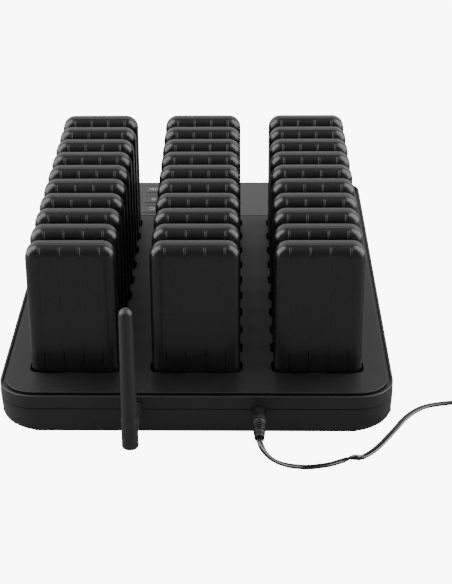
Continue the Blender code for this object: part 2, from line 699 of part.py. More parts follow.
def build_adapter():
    """Plug-in adapter on its side: moulded body, cable gland and two blades."""
    half = ADAPTER_SIZE / 2
    edge = 3 * MM
    rings = []
    for inset, rise in ((edge, 0), (0, edge), (0, ADAPTER_SIZE.y - edge), (edge, ADAPTER_SIZE.y)):
        low = (ADAPTER_CENTRE.x - half.x + inset, ADAPTER_CENTRE.z - half.z + inset)
        high = (ADAPTER_CENTRE.x + half.x - inset, ADAPTER_CENTRE.z + half.z - inset)
        y = ADAPTER_CENTRE.y - half.y + rise
        outline = rounded_outline(low, high, (edge,) * 4, (2,) * 4)
        rings.append([(x, y, z) for x, z in outline])
    body = finish_object("adapter", skin_rings("adapter", rings), case_plastic())
    gland_y = ADAPTER_CENTRE.y - half.y
    gland = [(0, -10 * MM), (2.6 * MM, -10 * MM), (3.6 * MM, 2 * MM), (0, 2 * MM)]
    gland_place = (TAIL_ROUTE[-1][0] * MM, gland_y, TAIL_ROUTE[-1][2] * MM)
    boolean(body, cutter("gland", turned_mesh("gland", gland, (0, 1, 0), gland_place)), "UNION")
    face_x = ADAPTER_CENTRE.x + half.x
    for side in (-1, 1):
        y = ADAPTER_CENTRE.y + side * BLADE_SPACING / 2
        low = (face_x - 2 * MM, y - BLADE_SIZE.y / 2, ADAPTER_CENTRE.z - BLADE_SIZE.z / 2)
        high = (face_x + BLADE_SIZE.x, y + BLADE_SIZE.y / 2, ADAPTER_CENTRE.z + BLADE_SIZE.z / 2)
        boolean(body, cutter(f"blade_{side}", box_mesh("blade", low, high)), "UNION")


clear_scene()
build_pagers()
lower_shell = build_lower_shell()
upper_shell = build_upper_shell()
cut_connector_openings([lower_shell, upper_shell])
build_deck()
build_control_panel()
build_boards()
build_feet()
build_antenna()
build_power_inlet()
build_lead()
build_adapter()
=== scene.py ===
import math
from math import radians

import bmesh
import bpy
import numpy as np
from mathutils import Matrix, Vector


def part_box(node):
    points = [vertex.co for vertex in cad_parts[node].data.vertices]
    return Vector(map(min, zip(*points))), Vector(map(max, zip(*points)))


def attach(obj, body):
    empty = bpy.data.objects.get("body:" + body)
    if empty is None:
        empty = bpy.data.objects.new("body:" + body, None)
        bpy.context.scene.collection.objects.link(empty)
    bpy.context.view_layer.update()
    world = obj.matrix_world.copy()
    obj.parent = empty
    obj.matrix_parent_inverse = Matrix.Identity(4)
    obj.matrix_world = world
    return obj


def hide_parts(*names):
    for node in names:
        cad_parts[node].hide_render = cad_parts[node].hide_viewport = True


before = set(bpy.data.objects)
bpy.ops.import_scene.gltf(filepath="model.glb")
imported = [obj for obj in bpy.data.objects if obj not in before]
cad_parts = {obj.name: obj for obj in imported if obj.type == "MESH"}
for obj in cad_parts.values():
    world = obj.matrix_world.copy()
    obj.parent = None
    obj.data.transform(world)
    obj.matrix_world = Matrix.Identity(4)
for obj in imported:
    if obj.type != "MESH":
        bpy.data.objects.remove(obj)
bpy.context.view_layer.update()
mm = 0.001
letters = "lcr"
rowCount = 10
print("frame loaded")


# Small tools.

def deselectAll():
    if bpy.context.object and bpy.context.object.mode != "OBJECT":
        bpy.ops.object.mode_set(mode="OBJECT")
    bpy.ops.object.select_all(action="DESELECT")


def pick(*pieces):
    deselectAll()
    for piece in pieces:
        piece.select_set(True)
    bpy.context.view_layer.objects.active = pieces[0]


def addBlock(name, low, high):
    deselectAll()
    low, high = Vector(low), Vector(high)
    bpy.ops.mesh.primitive_cube_add(size=1, location=(low + high) / 2)
    piece = bpy.context.object
    piece.name = piece.data.name = name
    piece.scale = high - low
    bpy.ops.object.transform_apply(location=True, rotation=True, scale=True)
    return piece


# A block about a place in plan, from its half sizes and its lowest and highest z.
def addPad(name, x, y, halfX, halfY, lowZ, highZ):
    return addBlock(name, (x - halfX, y - halfY, lowZ), (x + halfX, y + halfY, highZ))


def addDrum(name, centre, radius, depth, axis="Z", sides=32, stretch=1.0):
    deselectAll()
    turn = {"X": (0, radians(90), 0), "Y": (radians(90), 0, 0), "Z": (0, 0, 0)}[axis]
    bpy.ops.mesh.primitive_cylinder_add(vertices=sides, radius=radius, depth=depth,
                                        location=centre, rotation=turn)
    piece = bpy.context.object
    piece.name = piece.data.name = name
    piece.scale = (1, stretch, 1)
    bpy.ops.object.transform_apply(location=True, rotation=True, scale=True)
    return piece


# Selects edges or faces in edit mode by a test on the place of their corners.
def choose(piece, kind, wanted):
    bpy.ops.mesh.select_mode(type=kind)
    bpy.ops.mesh.select_all(action="DESELECT")
    bm = bmesh.from_edit_mesh(piece.data)
    for item in (bm.edges if kind == "EDGE" else bm.faces):
        if wanted(item):
            item.select_set(True)
    bmesh.update_edit_mesh(piece.data)


# A test for edges that run along one axis.
def along(axis, extra=None):
    def test(edge):
        a, b = (v.co for v in edge.verts)
        run = b - a
        others = [abs(run[i]) for i in range(3) if i != axis]
        return abs(run[axis]) > 1e-6 and max(others) < 1e-6 and (extra is None or extra((a + b) / 2))
    return test


# A test for edges and faces whose corners all lie in one plane across an axis.
def inPlane(axis, level, extra=None):
    def test(item):
        if any(abs(v.co[axis] - level) > 2e-6 for v in item.verts):
            return False
        if extra is None:
            return True
        middle = sum((v.co for v in item.verts), Vector()) / len(item.verts)
        return extra(middle)
    return test


def bevelEdges(piece, wanted, width, segments):
    pick(piece)
    bpy.ops.object.mode_set(mode="EDIT")
    choose(piece, "EDGE", wanted)
    bpy.ops.mesh.bevel(offset=width, segments=segments, affect="EDGES")
    bpy.ops.object.mode_set(mode="OBJECT")


# Insets the chosen faces step by step. A step is (thickness, depth), and depth below 0 sinks.
def insetFaces(piece, wanted, *steps):
    pick(piece)
    bpy.ops.object.mode_set(mode="EDIT")
    choose(piece, "FACE", wanted)
    for thickness, depth in steps:
        bpy.ops.mesh.inset(thickness=thickness, depth=depth)
    bpy.ops.object.mode_set(mode="OBJECT")


def deleteFaces(piece, wanted):
    pick(piece)
    bpy.ops.object.mode_set(mode="EDIT")
    choose(piece, "FACE", wanted)
    bpy.ops.mesh.delete(type="FACE")
    bpy.ops.object.mode_set(mode="OBJECT")


# Adds a modifier and applies it.
def shape(piece, kind, **settings):
    change = piece.modifiers.new(kind.title(), kind)
    for key, value in settings.items():
        setattr(change, key, value)
    pick(piece)
    bpy.ops.object.modifier_apply(modifier=change.name)


def cutWith(piece, *cutters, operation="DIFFERENCE"):
    for cutter in cutters:
        shape(piece, "BOOLEAN", operation=operation, object=cutter, solver="EXACT")
        bpy.data.objects.remove(cutter)


def joinPieces(name, *pieces):
    pick(*pieces)
    bpy.ops.object.join()
    made = bpy.context.object
    made.name = name
    return made


# Draws a profile of (radius, distance along the axis) by extruding a vertex, and spins it.
# The profile is in millimetres.
def turnPiece(name, profile, place, axis="Z", steps=40):
    profile = [(radius * mm, distance * mm) for radius, distance in profile]
    deselectAll()
    bpy.ops.mesh.primitive_plane_add(size=mm, location=(0, 0, 0))
    piece = bpy.context.object
    piece.name = piece.data.name = name
    bpy.ops.object.mode_set(mode="EDIT")
    bpy.ops.mesh.select_mode(type="VERT")
    bpy.ops.mesh.select_all(action="SELECT")
    bpy.ops.mesh.merge(type="CENTER")
    bpy.ops.transform.translate(value=(profile[0][0], 0, profile[0][1]))
    for here, there in zip(profile, profile[1:]):
        step = (there[0] - here[0], 0, there[1] - here[1])
        bpy.ops.mesh.extrude_region_move(TRANSFORM_OT_translate={"value": step})
    bpy.ops.mesh.select_all(action="SELECT")
    bpy.ops.mesh.spin(steps=steps, angle=2 * math.pi, center=(0, 0, 0), axis=(0, 0, 1))
    bpy.ops.mesh.select_all(action="SELECT")
    bpy.ops.mesh.remove_doubles(threshold=2e-6)
    bpy.ops.mesh.normals_make_consistent(inside=False)
    bpy.ops.object.mode_set(mode="OBJECT")
    ways = {"X": (1, 0, 0), "Y": (0, 1, 0), "-Y": (0, -1, 0), "Z": (0, 0, 1)}
    turn = Vector((0, 0, 1)).rotation_difference(Vector(ways[axis])).to_matrix().to_4x4()
    piece.data.transform(Matrix.Translation(place) @ turn)
    return piece


# Raised lettering as a mesh, standing on the place given.
def addText(name, body, size, place, thickness=0.1 * mm, turn=(0, 0, 0), weight=0):
    deselectAll()
    bpy.ops.object.text_add(location=(0, 0, 0))
    piece = bpy.context.object
    piece.name = name
    piece.data.body = body
    piece.data.size = size
    piece.data.align_x = "CENTER"
    piece.data.align_y = "CENTER"
    piece.data.extrude = thickness / 2
    piece.data.offset = weight
    piece.data.resolution_u = 4
    bpy.ops.object.convert(target="MESH")
    piece = bpy.context.object
    piece.rotation_euler = turn
    piece.location = place
    bpy.ops.object.transform_apply(location=True, rotation=True, scale=True)
    return piece


def linkMesh(name, mesh):
    made = bpy.data.objects.new(name, mesh)
    bpy.context.scene.collection.objects.link(made)
    return made


# The skin of a shape that runs through rings of corners, closed at both ends.
def skinRings(name, verts, ringSize):
    faces = []
    for start in range(0, len(verts) - ringSize, ringSize):
        for j in range(ringSize):
            k = (j + 1) % ringSize
            faces.append((start + j, start + k, start + ringSize + k, start + ringSize + j))
    faces += [tuple(range(ringSize)), tuple(range(len(verts) - 1, len(verts) - 1 - ringSize, -1))]
    mesh = bpy.data.meshes.new(name)
    mesh.from_pydata(verts, [], faces)
    bm = bmesh.new()
    bm.from_mesh(mesh)
    bmesh.ops.recalc_face_normals(bm, faces=bm.faces)
    bm.to_mesh(mesh)
    bm.free()
    return linkMesh(name, mesh)


# A copy with its own mesh, moved by the shift.
def copyPiece(piece, name, shift):
    mesh = piece.data.copy()
    mesh.name = name
    mesh.transform(Matrix.Translation(shift))
    return linkMesh(name, mesh)


# Gives a piece its material, shading and body, and hides the CAD nodes that it stands for.
def finishPiece(piece, look, body, replaced=(), smooth=32):
    pick(piece)
    if smooth:
        bpy.ops.object.shade_smooth_by_angle(angle=radians(smooth))
        shape(piece, "WEIGHTED_NORMAL", weight=100, keep_sharp=True)
    piece.data.materials.clear()
    piece.data.materials.append(look)
    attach(piece, body)
    if replaced:
        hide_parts(*replaced)
    return piece


# Camera.

camera = {
    "place": (0.033728, -1.154173, 0.599444),
    "yaw": -1.9976, "pitch": -26.5288, "roll": -0.8583,   # degrees
    "focal": 1507.639, "middle": (193.492, 297.394), "frame": (452, 584),
}


def makeCamera():
    bpy.ops.object.camera_add(location=camera["place"])
    made = bpy.context.object
    yaw, pitch, roll = (radians(camera[key]) for key in ("yaw", "pitch", "roll"))
    ahead = Vector((math.sin(yaw) * math.cos(pitch), math.cos(yaw) * math.cos(pitch), math.sin(pitch)))
    right = Vector((math.cos(yaw), -math.sin(yaw), 0))
    up = right.cross(ahead)
    turnedRight = right * math.cos(roll) + up * math.sin(roll)
    turnedUp = up * math.cos(roll) - right * math.sin(roll)
    made.matrix_world = (Matrix.Translation(camera["place"])
                         @ Matrix((turnedRight, turnedUp, -ahead)).transposed().to_4x4())
    width, height = camera["frame"]
    lens = made.data
    lens.sensor_fit = "HORIZONTAL"
    lens.sensor_width = 36
    lens.lens = camera["focal"] / width * lens.sensor_width
    lens.shift_x = (width / 2 - camera["middle"][0]) / width
    lens.shift_y = (camera["middle"][1] - height / 2) / width
    lens.clip_start = 0.05
    lens.dof.use_dof = False
    bpy.context.scene.camera = made


deselectAll()
makeCamera()
print("camera placed")


# Materials.

# Adds a node. An input takes its value, or a link where the value is another node's output.
def addNode(tree, kind, inputs=None, **settings):
    made = tree.nodes.new("ShaderNode" + kind)
    for key, value in settings.items():
        setattr(made, key, value)
    for socket, value in (inputs or {}).items():
        if isinstance(value, bpy.types.NodeSocket):
            tree.links.new(value, made.inputs[socket])
        else:
            made.inputs[socket].default_value = value
    return made


# A node group with its sockets, each a (name, kind) or a (name, kind, value).
def startGroup(name, inputs, outputs):
    group = bpy.data.node_groups.new(name, "ShaderNodeTree")
    for way, sockets in (("INPUT", inputs), ("OUTPUT", outputs)):
        for title, kind, *value in sockets:
            socket = group.interface.new_socket(name=title, in_out=way, socket_type="NodeSocket" + kind)
            if value:
                socket.default_value = value[0]
    return group, group.nodes.new("NodeGroupInput").outputs, group.nodes.new("NodeGroupOutput").inputs


# Fine moulded texture with slow patches: a shade and roughness that drift, and a height.
def makeMouldedGrain():
    group, given, put = startGroup(
        "mouldedGrain",
        (("Place", "Vector"), ("Grain Size", "Float", 0.5), ("Patch Size", "Float", 30),
         ("Dark", "Color", (0.02, 0.02, 0.02, 1)), ("Light", "Color", (0.03, 0.03, 0.03, 1)),
         ("Rough Low", "Float", 0.3), ("Rough High", "Float", 0.45)),
        (("Colour", "Color"), ("Roughness", "Float"), ("Height", "Float")))
    perMillimetre = addNode(group, "VectorMath", {0: given["Place"], "Scale": 1000}, operation="SCALE")
    noises = []
    for size, detail in (("Grain Size", 3), ("Patch Size", 4)):
        scale = addNode(group, "Math", {0: 1, 1: given[size]}, operation="DIVIDE")
        texture = addNode(group, "TexNoise", {"Vector": perMillimetre.outputs[0], "Scale": scale.outputs[0],
                                              "Detail": detail})
        noises.append(texture.outputs["Fac"])
    grain, patches = noises
    spread = addNode(group, "MapRange", {"Value": patches, "From Min": 0.3, "From Max": 0.7}).outputs[0]
    shade = addNode(group, "Mix", {0: spread, 6: given["Dark"], 7: given["Light"]}, data_type="RGBA")
    halfGrain = addNode(group, "Math", {0: grain, 1: 0.5}, operation="MULTIPLY")
    blend = addNode(group, "Math", {0: spread, 1: 0.5, 2: halfGrain.outputs[0]}, operation="MULTIPLY_ADD")
    rough = addNode(group, "Mix", {0: blend.outputs[0], 2: given["Rough Low"], 3: given["Rough High"]})
    for title, output in (("Colour", shade.outputs[2]), ("Roughness", rough.outputs[0]), ("Height", grain)):
        group.links.new(output, put[title])
    return group


# A mask of the dust that settles in fine specks on faces which look up.
def makeSettledDust():
    group, given, put = startGroup(
        "settledDust", (("Place", "Vector"), ("Facing", "Vector"), ("Amount", "Float", 0.1)),
        (("Mask", "Float"),))
    facing = addNode(group, "SeparateXYZ", {0: given["Facing"]})
    upward = addNode(group, "MapRange", {"Value": facing.outputs["Z"], "From Min": 0.4, "From Max": 1})
    specks = addNode(group, "TexNoise", {"Vector": given["Place"], "Scale": 900, "Detail": 5})
    grains = addNode(group, "MapRange", {"Value": specks.outputs["Fac"], "From Min": 0.45, "From Max": 0.75})
    both = addNode(group, "Math", {0: upward.outputs[0], 1: grains.outputs[0]}, operation="MULTIPLY")
    scaled = addNode(group, "Math", {0: both.outputs[0], 1: given["Amount"]}, operation="MULTIPLY")
    group.links.new(scaled.outputs[0], put["Mask"])
    return group


mouldedGrain = makeMouldedGrain()
settledDust = makeSettledDust()
dustShade = (0.32, 0.31, 0.3, 1)


# A moulded finish. dark and light are the ends of its shade, rough those of its roughness.
def makePlastic(name, dark, light, rough, grainSize=0.5, patchSize=30, relief=0.02, dust=0.06, coat=0.0,
                metallic=0.0):
    look = bpy.data.materials.new(name)
    look.use_nodes = True
    tree = look.node_tree
    place = addNode(tree, "TexCoord").outputs
    grain = addNode(tree, "Group", {}, node_tree=mouldedGrain)
    tree.links.new(place["Object"], grain.inputs["Place"])
    for socket, value in (("Grain Size", grainSize), ("Patch Size", patchSize), ("Dark", (*dark, 1)),
                          ("Light", (*light, 1)), ("Rough Low", rough[0]), ("Rough High", rough[1])):
        grain.inputs[socket].default_value = value
    dusting = addNode(tree, "Group", {"Place": place["Object"], "Facing": place["Normal"], "Amount": dust},
                      node_tree=settledDust)
    dusty = addNode(tree, "Mix", {0: dusting.outputs["Mask"], 6: grain.outputs["Colour"], 7: dustShade},
                    data_type="RGBA")
    bump = addNode(tree, "Bump", {"Strength": 1, "Distance": relief * mm, "Height": grain.outputs["Height"]})
    shader = tree.nodes["Principled BSDF"]
    for socket, output in (("Base Color", dusty.outputs[2]), ("Roughness", grain.outputs["Roughness"]),
                           ("Normal", bump.outputs["Normal"])):
        tree.links.new(output, shader.inputs[socket])
    shader.inputs["Metallic"].default_value = metallic
    shader.inputs["Coat Weight"].default_value = coat
    return look


def grey(level):
    return (level, level, level)


looks = {
    "case": makePlastic("casePlastic", grey(0.032), grey(0.037), (0.38, 0.46), 0.45, 40, 0.012),
    "deck": makePlastic("deckPlastic", grey(0.004), grey(0.0052), (0.46, 0.54), 0.4, 45, 0.008),
    "pager": makePlastic("pagerPlastic", grey(0.02), grey(0.0235), (0.25, 0.3), 0.35, 28, 0.005, 0.03),
    "overlay": makePlastic("overlayFilm", grey(0.068), grey(0.075), (0.34, 0.42), 0.3, 60, 0.006),
    "key": makePlastic("keyFilm", grey(0.08), grey(0.088), (0.34, 0.42), 0.3, 25, 0.006),
    "print": makePlastic("whitePrint", grey(0.82), grey(0.9), (0.5, 0.6), 0.3, 12, 0.004, 0.02),
    "rubber": makePlastic("blackRubber", grey(0.008), grey(0.011), (0.4, 0.5), 0.6, 14, 0.02),
    "antenna": makePlastic("antennaRubber", grey(0.03), grey(0.036), (0.42, 0.5), 0.5, 30, 0.012),
    "lead": makePlastic("leadVinyl", grey(0.012), grey(0.016), (0.12, 0.18), 1.5, 20, 0.01, 0.03, coat=0.4),
    "jack": makePlastic("jackNylon", grey(0.018), grey(0.024), (0.45, 0.55), 0.4, 10, 0.01),
    "board": makePlastic("boardGreen", (0.006, 0.05, 0.025), (0.01, 0.09, 0.04), (0.3, 0.45), 1.2, 9, 0.02),
    "steel": makePlastic("platedSteel", grey(0.5), grey(0.62), (0.22, 0.36), 0.5, 6, 0.006, 0.02, metallic=1),
    "nickel": makePlastic("blackNickel", grey(0.07), grey(0.1), (0.25, 0.38), 0.5, 6, 0.006, 0.02,
                          metallic=1),
    "gold": makePlastic("contactGold", (0.72, 0.5, 0.2), (0.84, 0.62, 0.27), (0.18, 0.32), 0.4, 4, 0.006,
                        0.02, metallic=1),
    "lens": makePlastic("smokedLens", grey(0.008), grey(0.01), (0.05, 0.1), 2, 30, 0.002, 0.02, coat=0.3),
    "lamp": makePlastic("lampRed", (0.16, 0.012, 0.01), (0.22, 0.018, 0.014), (0.1, 0.2), 1.2, 8, 0.01,
                        0.02, coat=0.4),
}
print("materials made")


# Light and floor.

studio = {
    "floorSize": 6, "floorShade": 0.9, "floorRoughness": 0.8, "seenWhite": 9,
    "backSky": ((0.0, 1.15), (0.45, 0.84), (0.75, 0.42), (1.0, 0.38)),    # (height, level)
    "frontSky": ((0.0, 0.2), (0.45, 0.18), (0.8, 0.36), (1.0, 0.38)),
    "turnFrom": -0.25, "turnTo": 0.45,
    "sideSize": (1.9, 2.3), "sidePower": 66, "sidePlace": (1.4, 0.0, 1.05), "sideAim": (0, 0, 0.1),
}


# The sky is bright behind the set and dim in front of it. The camera sees plain white instead.
def makeSky():
    world = bpy.data.worlds.new("studio")
    bpy.context.scene.world = world
    world.use_nodes = True
    tree = world.node_tree
    place = addNode(tree, "TexCoord")
    split = addNode(tree, "SeparateXYZ", {0: place.outputs["Generated"]}).outputs
    skies = []
    for key in ("frontSky", "backSky"):
        ramp = addNode(tree, "ValToRGB", {"Fac": split["Z"]})
        stops = ramp.color_ramp.elements
        stops.remove(stops[1])
        for index, (height, level) in enumerate(studio[key]):
            stop = stops[0] if index == 0 else stops.new(height)
            stop.position, stop.color = height, (level, level, level, 1)
        skies.append(ramp.outputs["Color"])
    turn = addNode(tree, "MapRange", {"Value": split["Y"], "From Min": studio["turnFrom"],
                                      "From Max": studio["turnTo"]}, interpolation_type="SMOOTHSTEP")
    sky = addNode(tree, "Mix", {0: turn.outputs[0], 6: skies[0], 7: skies[1]}, data_type="RGBA")
    seen = addNode(tree, "LightPath").outputs["Is Camera Ray"]
    mixed = addNode(tree, "Mix", {0: seen, 6: sky.outputs[2], 7: (*grey(studio["seenWhite"]), 1)},
                    data_type="RGBA")
    tree.links.new(mixed.outputs[2], tree.nodes["Background"].inputs["Color"])


def makeFloor():
    deselectAll()
    bpy.ops.mesh.primitive_plane_add(size=studio["floorSize"], location=(0, 0, 0))
    floor = bpy.context.object
    floor.name = "floor"
    look = bpy.data.materials.new("paleFloor")
    look.use_nodes = True
    tree = look.node_tree
    shader = tree.nodes["Principled BSDF"]
    shader.inputs["Base Color"].default_value = (*grey(studio["floorShade"]), 1)
    shader.inputs["Roughness"].default_value = studio["floorRoughness"]
    glow = addNode(tree, "Emission", {"Color": (1, 1, 1, 1), "Strength": studio["seenWhite"]})
    seen = addNode(tree, "LightPath").outputs["Is Camera Ray"]
    both = addNode(tree, "MixShader", {0: seen, 1: shader.outputs[0], 2: glow.outputs[0]})
    tree.links.new(both.outputs[0], tree.nodes["Material Output"].inputs["Surface"])
    floor.data.materials.append(look)


def makeSideLamps():
    x, y, z = studio["sidePlace"]
    for side in (-1, 1):
        bpy.ops.object.light_add(type="AREA", location=(side * x, y, z))
        lamp = bpy.context.object
        lamp.data.shape = "RECTANGLE"
        lamp.data.size, lamp.data.size_y = studio["sideSize"]
        lamp.data.energy = studio["sidePower"]
        lamp.visible_diffuse = False
        aim = Vector(studio["sideAim"]) - lamp.location
        lamp.rotation_euler = aim.to_track_quat("-Z", "Y").to_euler()


makeSky()
makeFloor()
makeSideLamps()
print("studio lit")


# Power lead: a flat twin cable from the plug to the coil of its spare length and the adapter.

lead = {
    "coreRadius": 1.2 * mm, "coreOffset": 1.1 * mm, "width": 4.6 * mm, "floorGap": 0.15 * mm,
    "spacing": 3 * mm,
    "run": [
        (47.4, -229.9, 24.2), (47.8, -234.4, 23.2), (50.7, -238.4, 19.2), (55.8, -239.2, 13.4),
        (62.2, -237.0, 8.2), (69.3, -233.9, 4.1), (76.8, -232.1, 2.0), (84.6, -231.4, 1.35),
        (97.6, -228.1, 1.35), (106.2, -223.8, 1.35), (113.7, -220.0, 1.35), (122.6, -218.0, 1.35),
        (134.1, -205.9, 1.35), (148.2, -182.5, 1.35), (161.1, -160.2, 1.35), (176.3, -145.5, 1.35),
        (197.7, -139.3, 1.35), (217.2, -136.9, 1.6), (233.0, -136.0, 2.45),
    ],
    "tail": [
        (278.4, -91.3, 7.2), (278.2, -83.5, 7.7), (276.4, -74.5, 11.0), (273.4, -65.7, 15.6),
        (271.6, -59.9, 17.8), (271.2, -55.8, 18.0),
    ],
    "coilCentre": (247.2, -105.0), "coilRadii": (31.2, 23.4), "coilHeights": (2.45, 7.25),
    "lowerTurns": 3, "climb": 120, "upperSweep": 1050,   # degrees
    "climbIn": 0.5,
    # where the lead rolls over: distances along it, and back from its end, in metres
    "flipAt": (0.078, 0.094), "edgeAt": (0.2, 0.235), "levelBack": (0.045, 0.02),
}


# The coil's turns: inwards on the counter, up at the middle, and outwards on top.
def coilPoints():
    outer, inner = lead["coilRadii"]
    low, high = lead["coilHeights"]
    points = []
    lowerSweep = 360 * lead["lowerTurns"]
    total = lowerSweep + lead["climb"] + lead["upperSweep"]
    for angle in range(0, total + 1, 8):
        if angle <= lowerSweep:
            radius = outer + (inner - outer) * angle / lowerSweep
            z = low
        elif angle <= lowerSweep + lead["climb"]:
            part = (angle - lowerSweep) / lead["climb"]
            radius = inner - lead["climbIn"] * part
            z = low + (high - low) * (3 * part ** 2 - 2 * part ** 3)
        else:
            part = (angle - lowerSweep - lead["climb"]) / lead["upperSweep"]
            radius = inner - lead["climbIn"] + (outer - inner + lead["climbIn"]) * part
            z = high
        turned = radians(angle - 90)
        points.append((lead["coilCentre"][0] + radius * math.cos(turned),
                       lead["coilCentre"][1] + radius * math.sin(turned), z))
    return points


# Even steps along a smooth curve through the points, which are in millimetres.
def evenPath(points, spacing):
    route = [Vector(p) * mm for p in points]
    ends = [2 * route[0] - route[1]] + route + [2 * route[-1] - route[-2]]
    fine = []
    for before, start, end, after in zip(ends, ends[1:], ends[2:], ends[3:]):
        for step in range(8):
            t = step / 8
            fine.append(0.5 * (2 * start + (end - before) * t
                               + (2 * before - 5 * start + 4 * end - after) * t ** 2
                               + (3 * start - before - 3 * end + after) * t ** 3))
    fine.append(route[-1])
    fine = np.array(fine)
    lengths = np.r_[0, np.linalg.norm(np.diff(fine, axis=0), axis=1).cumsum()]
    count = round(lengths[-1] / spacing) + 1
    wanted = np.linspace(0, lengths[-1], count)
    return np.stack([np.interp(wanted, lengths, fine[:, k]) for k in range(3)], axis=1), wanted


def smoothStep(value, low, high):
    part = np.clip((value - low) / (high - low), 0, 1)
    return part * part * (3 - 2 * part)


# The figure of eight that the cable's two cores make, anticlockwise.
def twinSection():
    points = []
    for side in (1, -1):
        for angle in range(-136, 137, 34):
            turned = radians(angle) + (0 if side == 1 else math.pi)
            points.append((side * lead["coreOffset"] + lead["coreRadius"] * math.cos(turned),
                           lead["coreRadius"] * math.sin(turned)))
    return points


# Sweeps a section along a path. A roll of 0 lays the section's width level.
def sweep(name, path, rolls, section):
    tangents = np.gradient(path, axis=0)
    tangents /= np.linalg.norm(tangents, axis=1)[:, None]
    verts = []
    for point, tangent, roll in zip(path, tangents, rolls):
        ahead = Vector(tangent)
        level = ahead.cross(Vector((0, 0, 1))).normalized()
        above = level.cross(ahead)
        wide = level * math.cos(roll) + above * math.sin(roll)
        thin = above * math.cos(roll) - level * math.sin(roll)
        verts += [Vector(point) + wide * a + thin * b for a, b in section]
    return skinRings(name, verts, len(section))


leadPath, leadDistance = evenPath(lead["run"] + coilPoints() + lead["tail"], lead["spacing"])
leadLength = float(leadDistance[-1])
rolls = math.pi * smoothStep(leadDistance, *lead["flipAt"])
rolls += math.pi / 2 * smoothStep(leadDistance, *lead["edgeAt"])
rolls += math.pi / 2 * smoothStep(leadDistance, *(leadLength - back for back in lead["levelBack"]))
halfHeight = lead["coreRadius"] + lead["coreOffset"] * np.abs(np.sin(rolls))
leadPath[:, 2] = np.maximum(leadPath[:, 2], lead["floorGap"] + halfHeight)
powerLead = sweep("powerLead", leadPath, rolls, twinSection())
finishPiece(powerLead, looks["lead"], "power_lead", ("lead_run", "lead_coil", "lead_tail"), 50)

plug = {
    "ribs": 5, "ribPitch": 2.4, "ribStart": 23.6, "ribDepth": 1.2, "ribRadius": 4.75, "ribTaper": 0.13,
    "grooves": 10, "grooveWidth": 0.7 * mm, "grooveDepth": 0.35 * mm, "grooveLength": 9 * mm,
    "grooveMiddle": 6.2 * mm, "neck": 4.1 * mm,
}


# Barrel plug: a grooved neck, a flared grip and a ribbed strain relief that tapers.
def makePlug():
    low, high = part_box("power_plug")
    seat = Vector(((low.x + high.x) / 2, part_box("power_jack")[0].y, (low.z + high.z) / 2))
    reach = (seat.y - low.y) / mm
    profile = [(1.35, 0.3), (1.35, -9.4), (2.75, -9.4), (2.75, 0.3), (3.9, 0.3), (4.1, 0.5), (4.1, 9),
               (4.35, 11), (4.75, 13), (5.05, 14.6), (5.15, 15.6), (5.15, 20.4), (5.0, 21.2), (4.7, 22)]
    for rib in range(plug["ribs"]):
        start = plug["ribStart"] + rib * plug["ribPitch"]
        radius = plug["ribRadius"] - plug["ribTaper"] * rib
        profile += [(radius - plug["ribDepth"], start - 0.7), (radius - plug["ribDepth"], start + 0.35),
                    (radius - 0.15, start + 0.5), (radius, start + 0.7), (radius, start + 1.2),
                    (radius - 0.15, start + 1.5)]
    end = plug["ribStart"] + plug["ribs"] * plug["ribPitch"]
    profile += [(3.75, end), (3.7, reach - 1), (3.3, reach - 0.2), (2.9, reach), (0, reach)]
    profile += [(0, 2), (1.35, 0.3)]
    made = turnPiece("powerPlug", profile, seat, "-Y", 36)
    for index in range(plug["grooves"]):
        angle = 2 * math.pi * index / plug["grooves"]
        radius = plug["neck"] + plug["grooveWidth"] / 2 - plug["grooveDepth"]
        centre = seat + Vector((radius * math.cos(angle), -plug["grooveMiddle"], radius * math.sin(angle)))
        cutWith(made, addDrum("groove", centre, plug["grooveWidth"] / 2, plug["grooveLength"], "Y", 8))
    return finishPiece(made, looks["rubber"], "power_lead", ("power_plug",), 28)


powerPlug = makePlug()

adapter = {
    "edge": 4 * mm, "bladeReach": 17 * mm, "reliefReach": 10 * mm,
    "seamShift": 5 * mm, "seamHalf": 0.3 * mm, "seamDepth": 0.4 * mm,
    "ridges": 7, "ridgeStart": 9 * mm, "ridgePitch": 3.2 * mm, "ridgeHalf": 0.5 * mm,
    "rings": 3, "ringPitch": 2.2,
    "bladeSpread": 6.35 * mm, "bladeHalf": (0.75 * mm, 3.15 * mm), "bladeHole": 1.5 * mm,
}


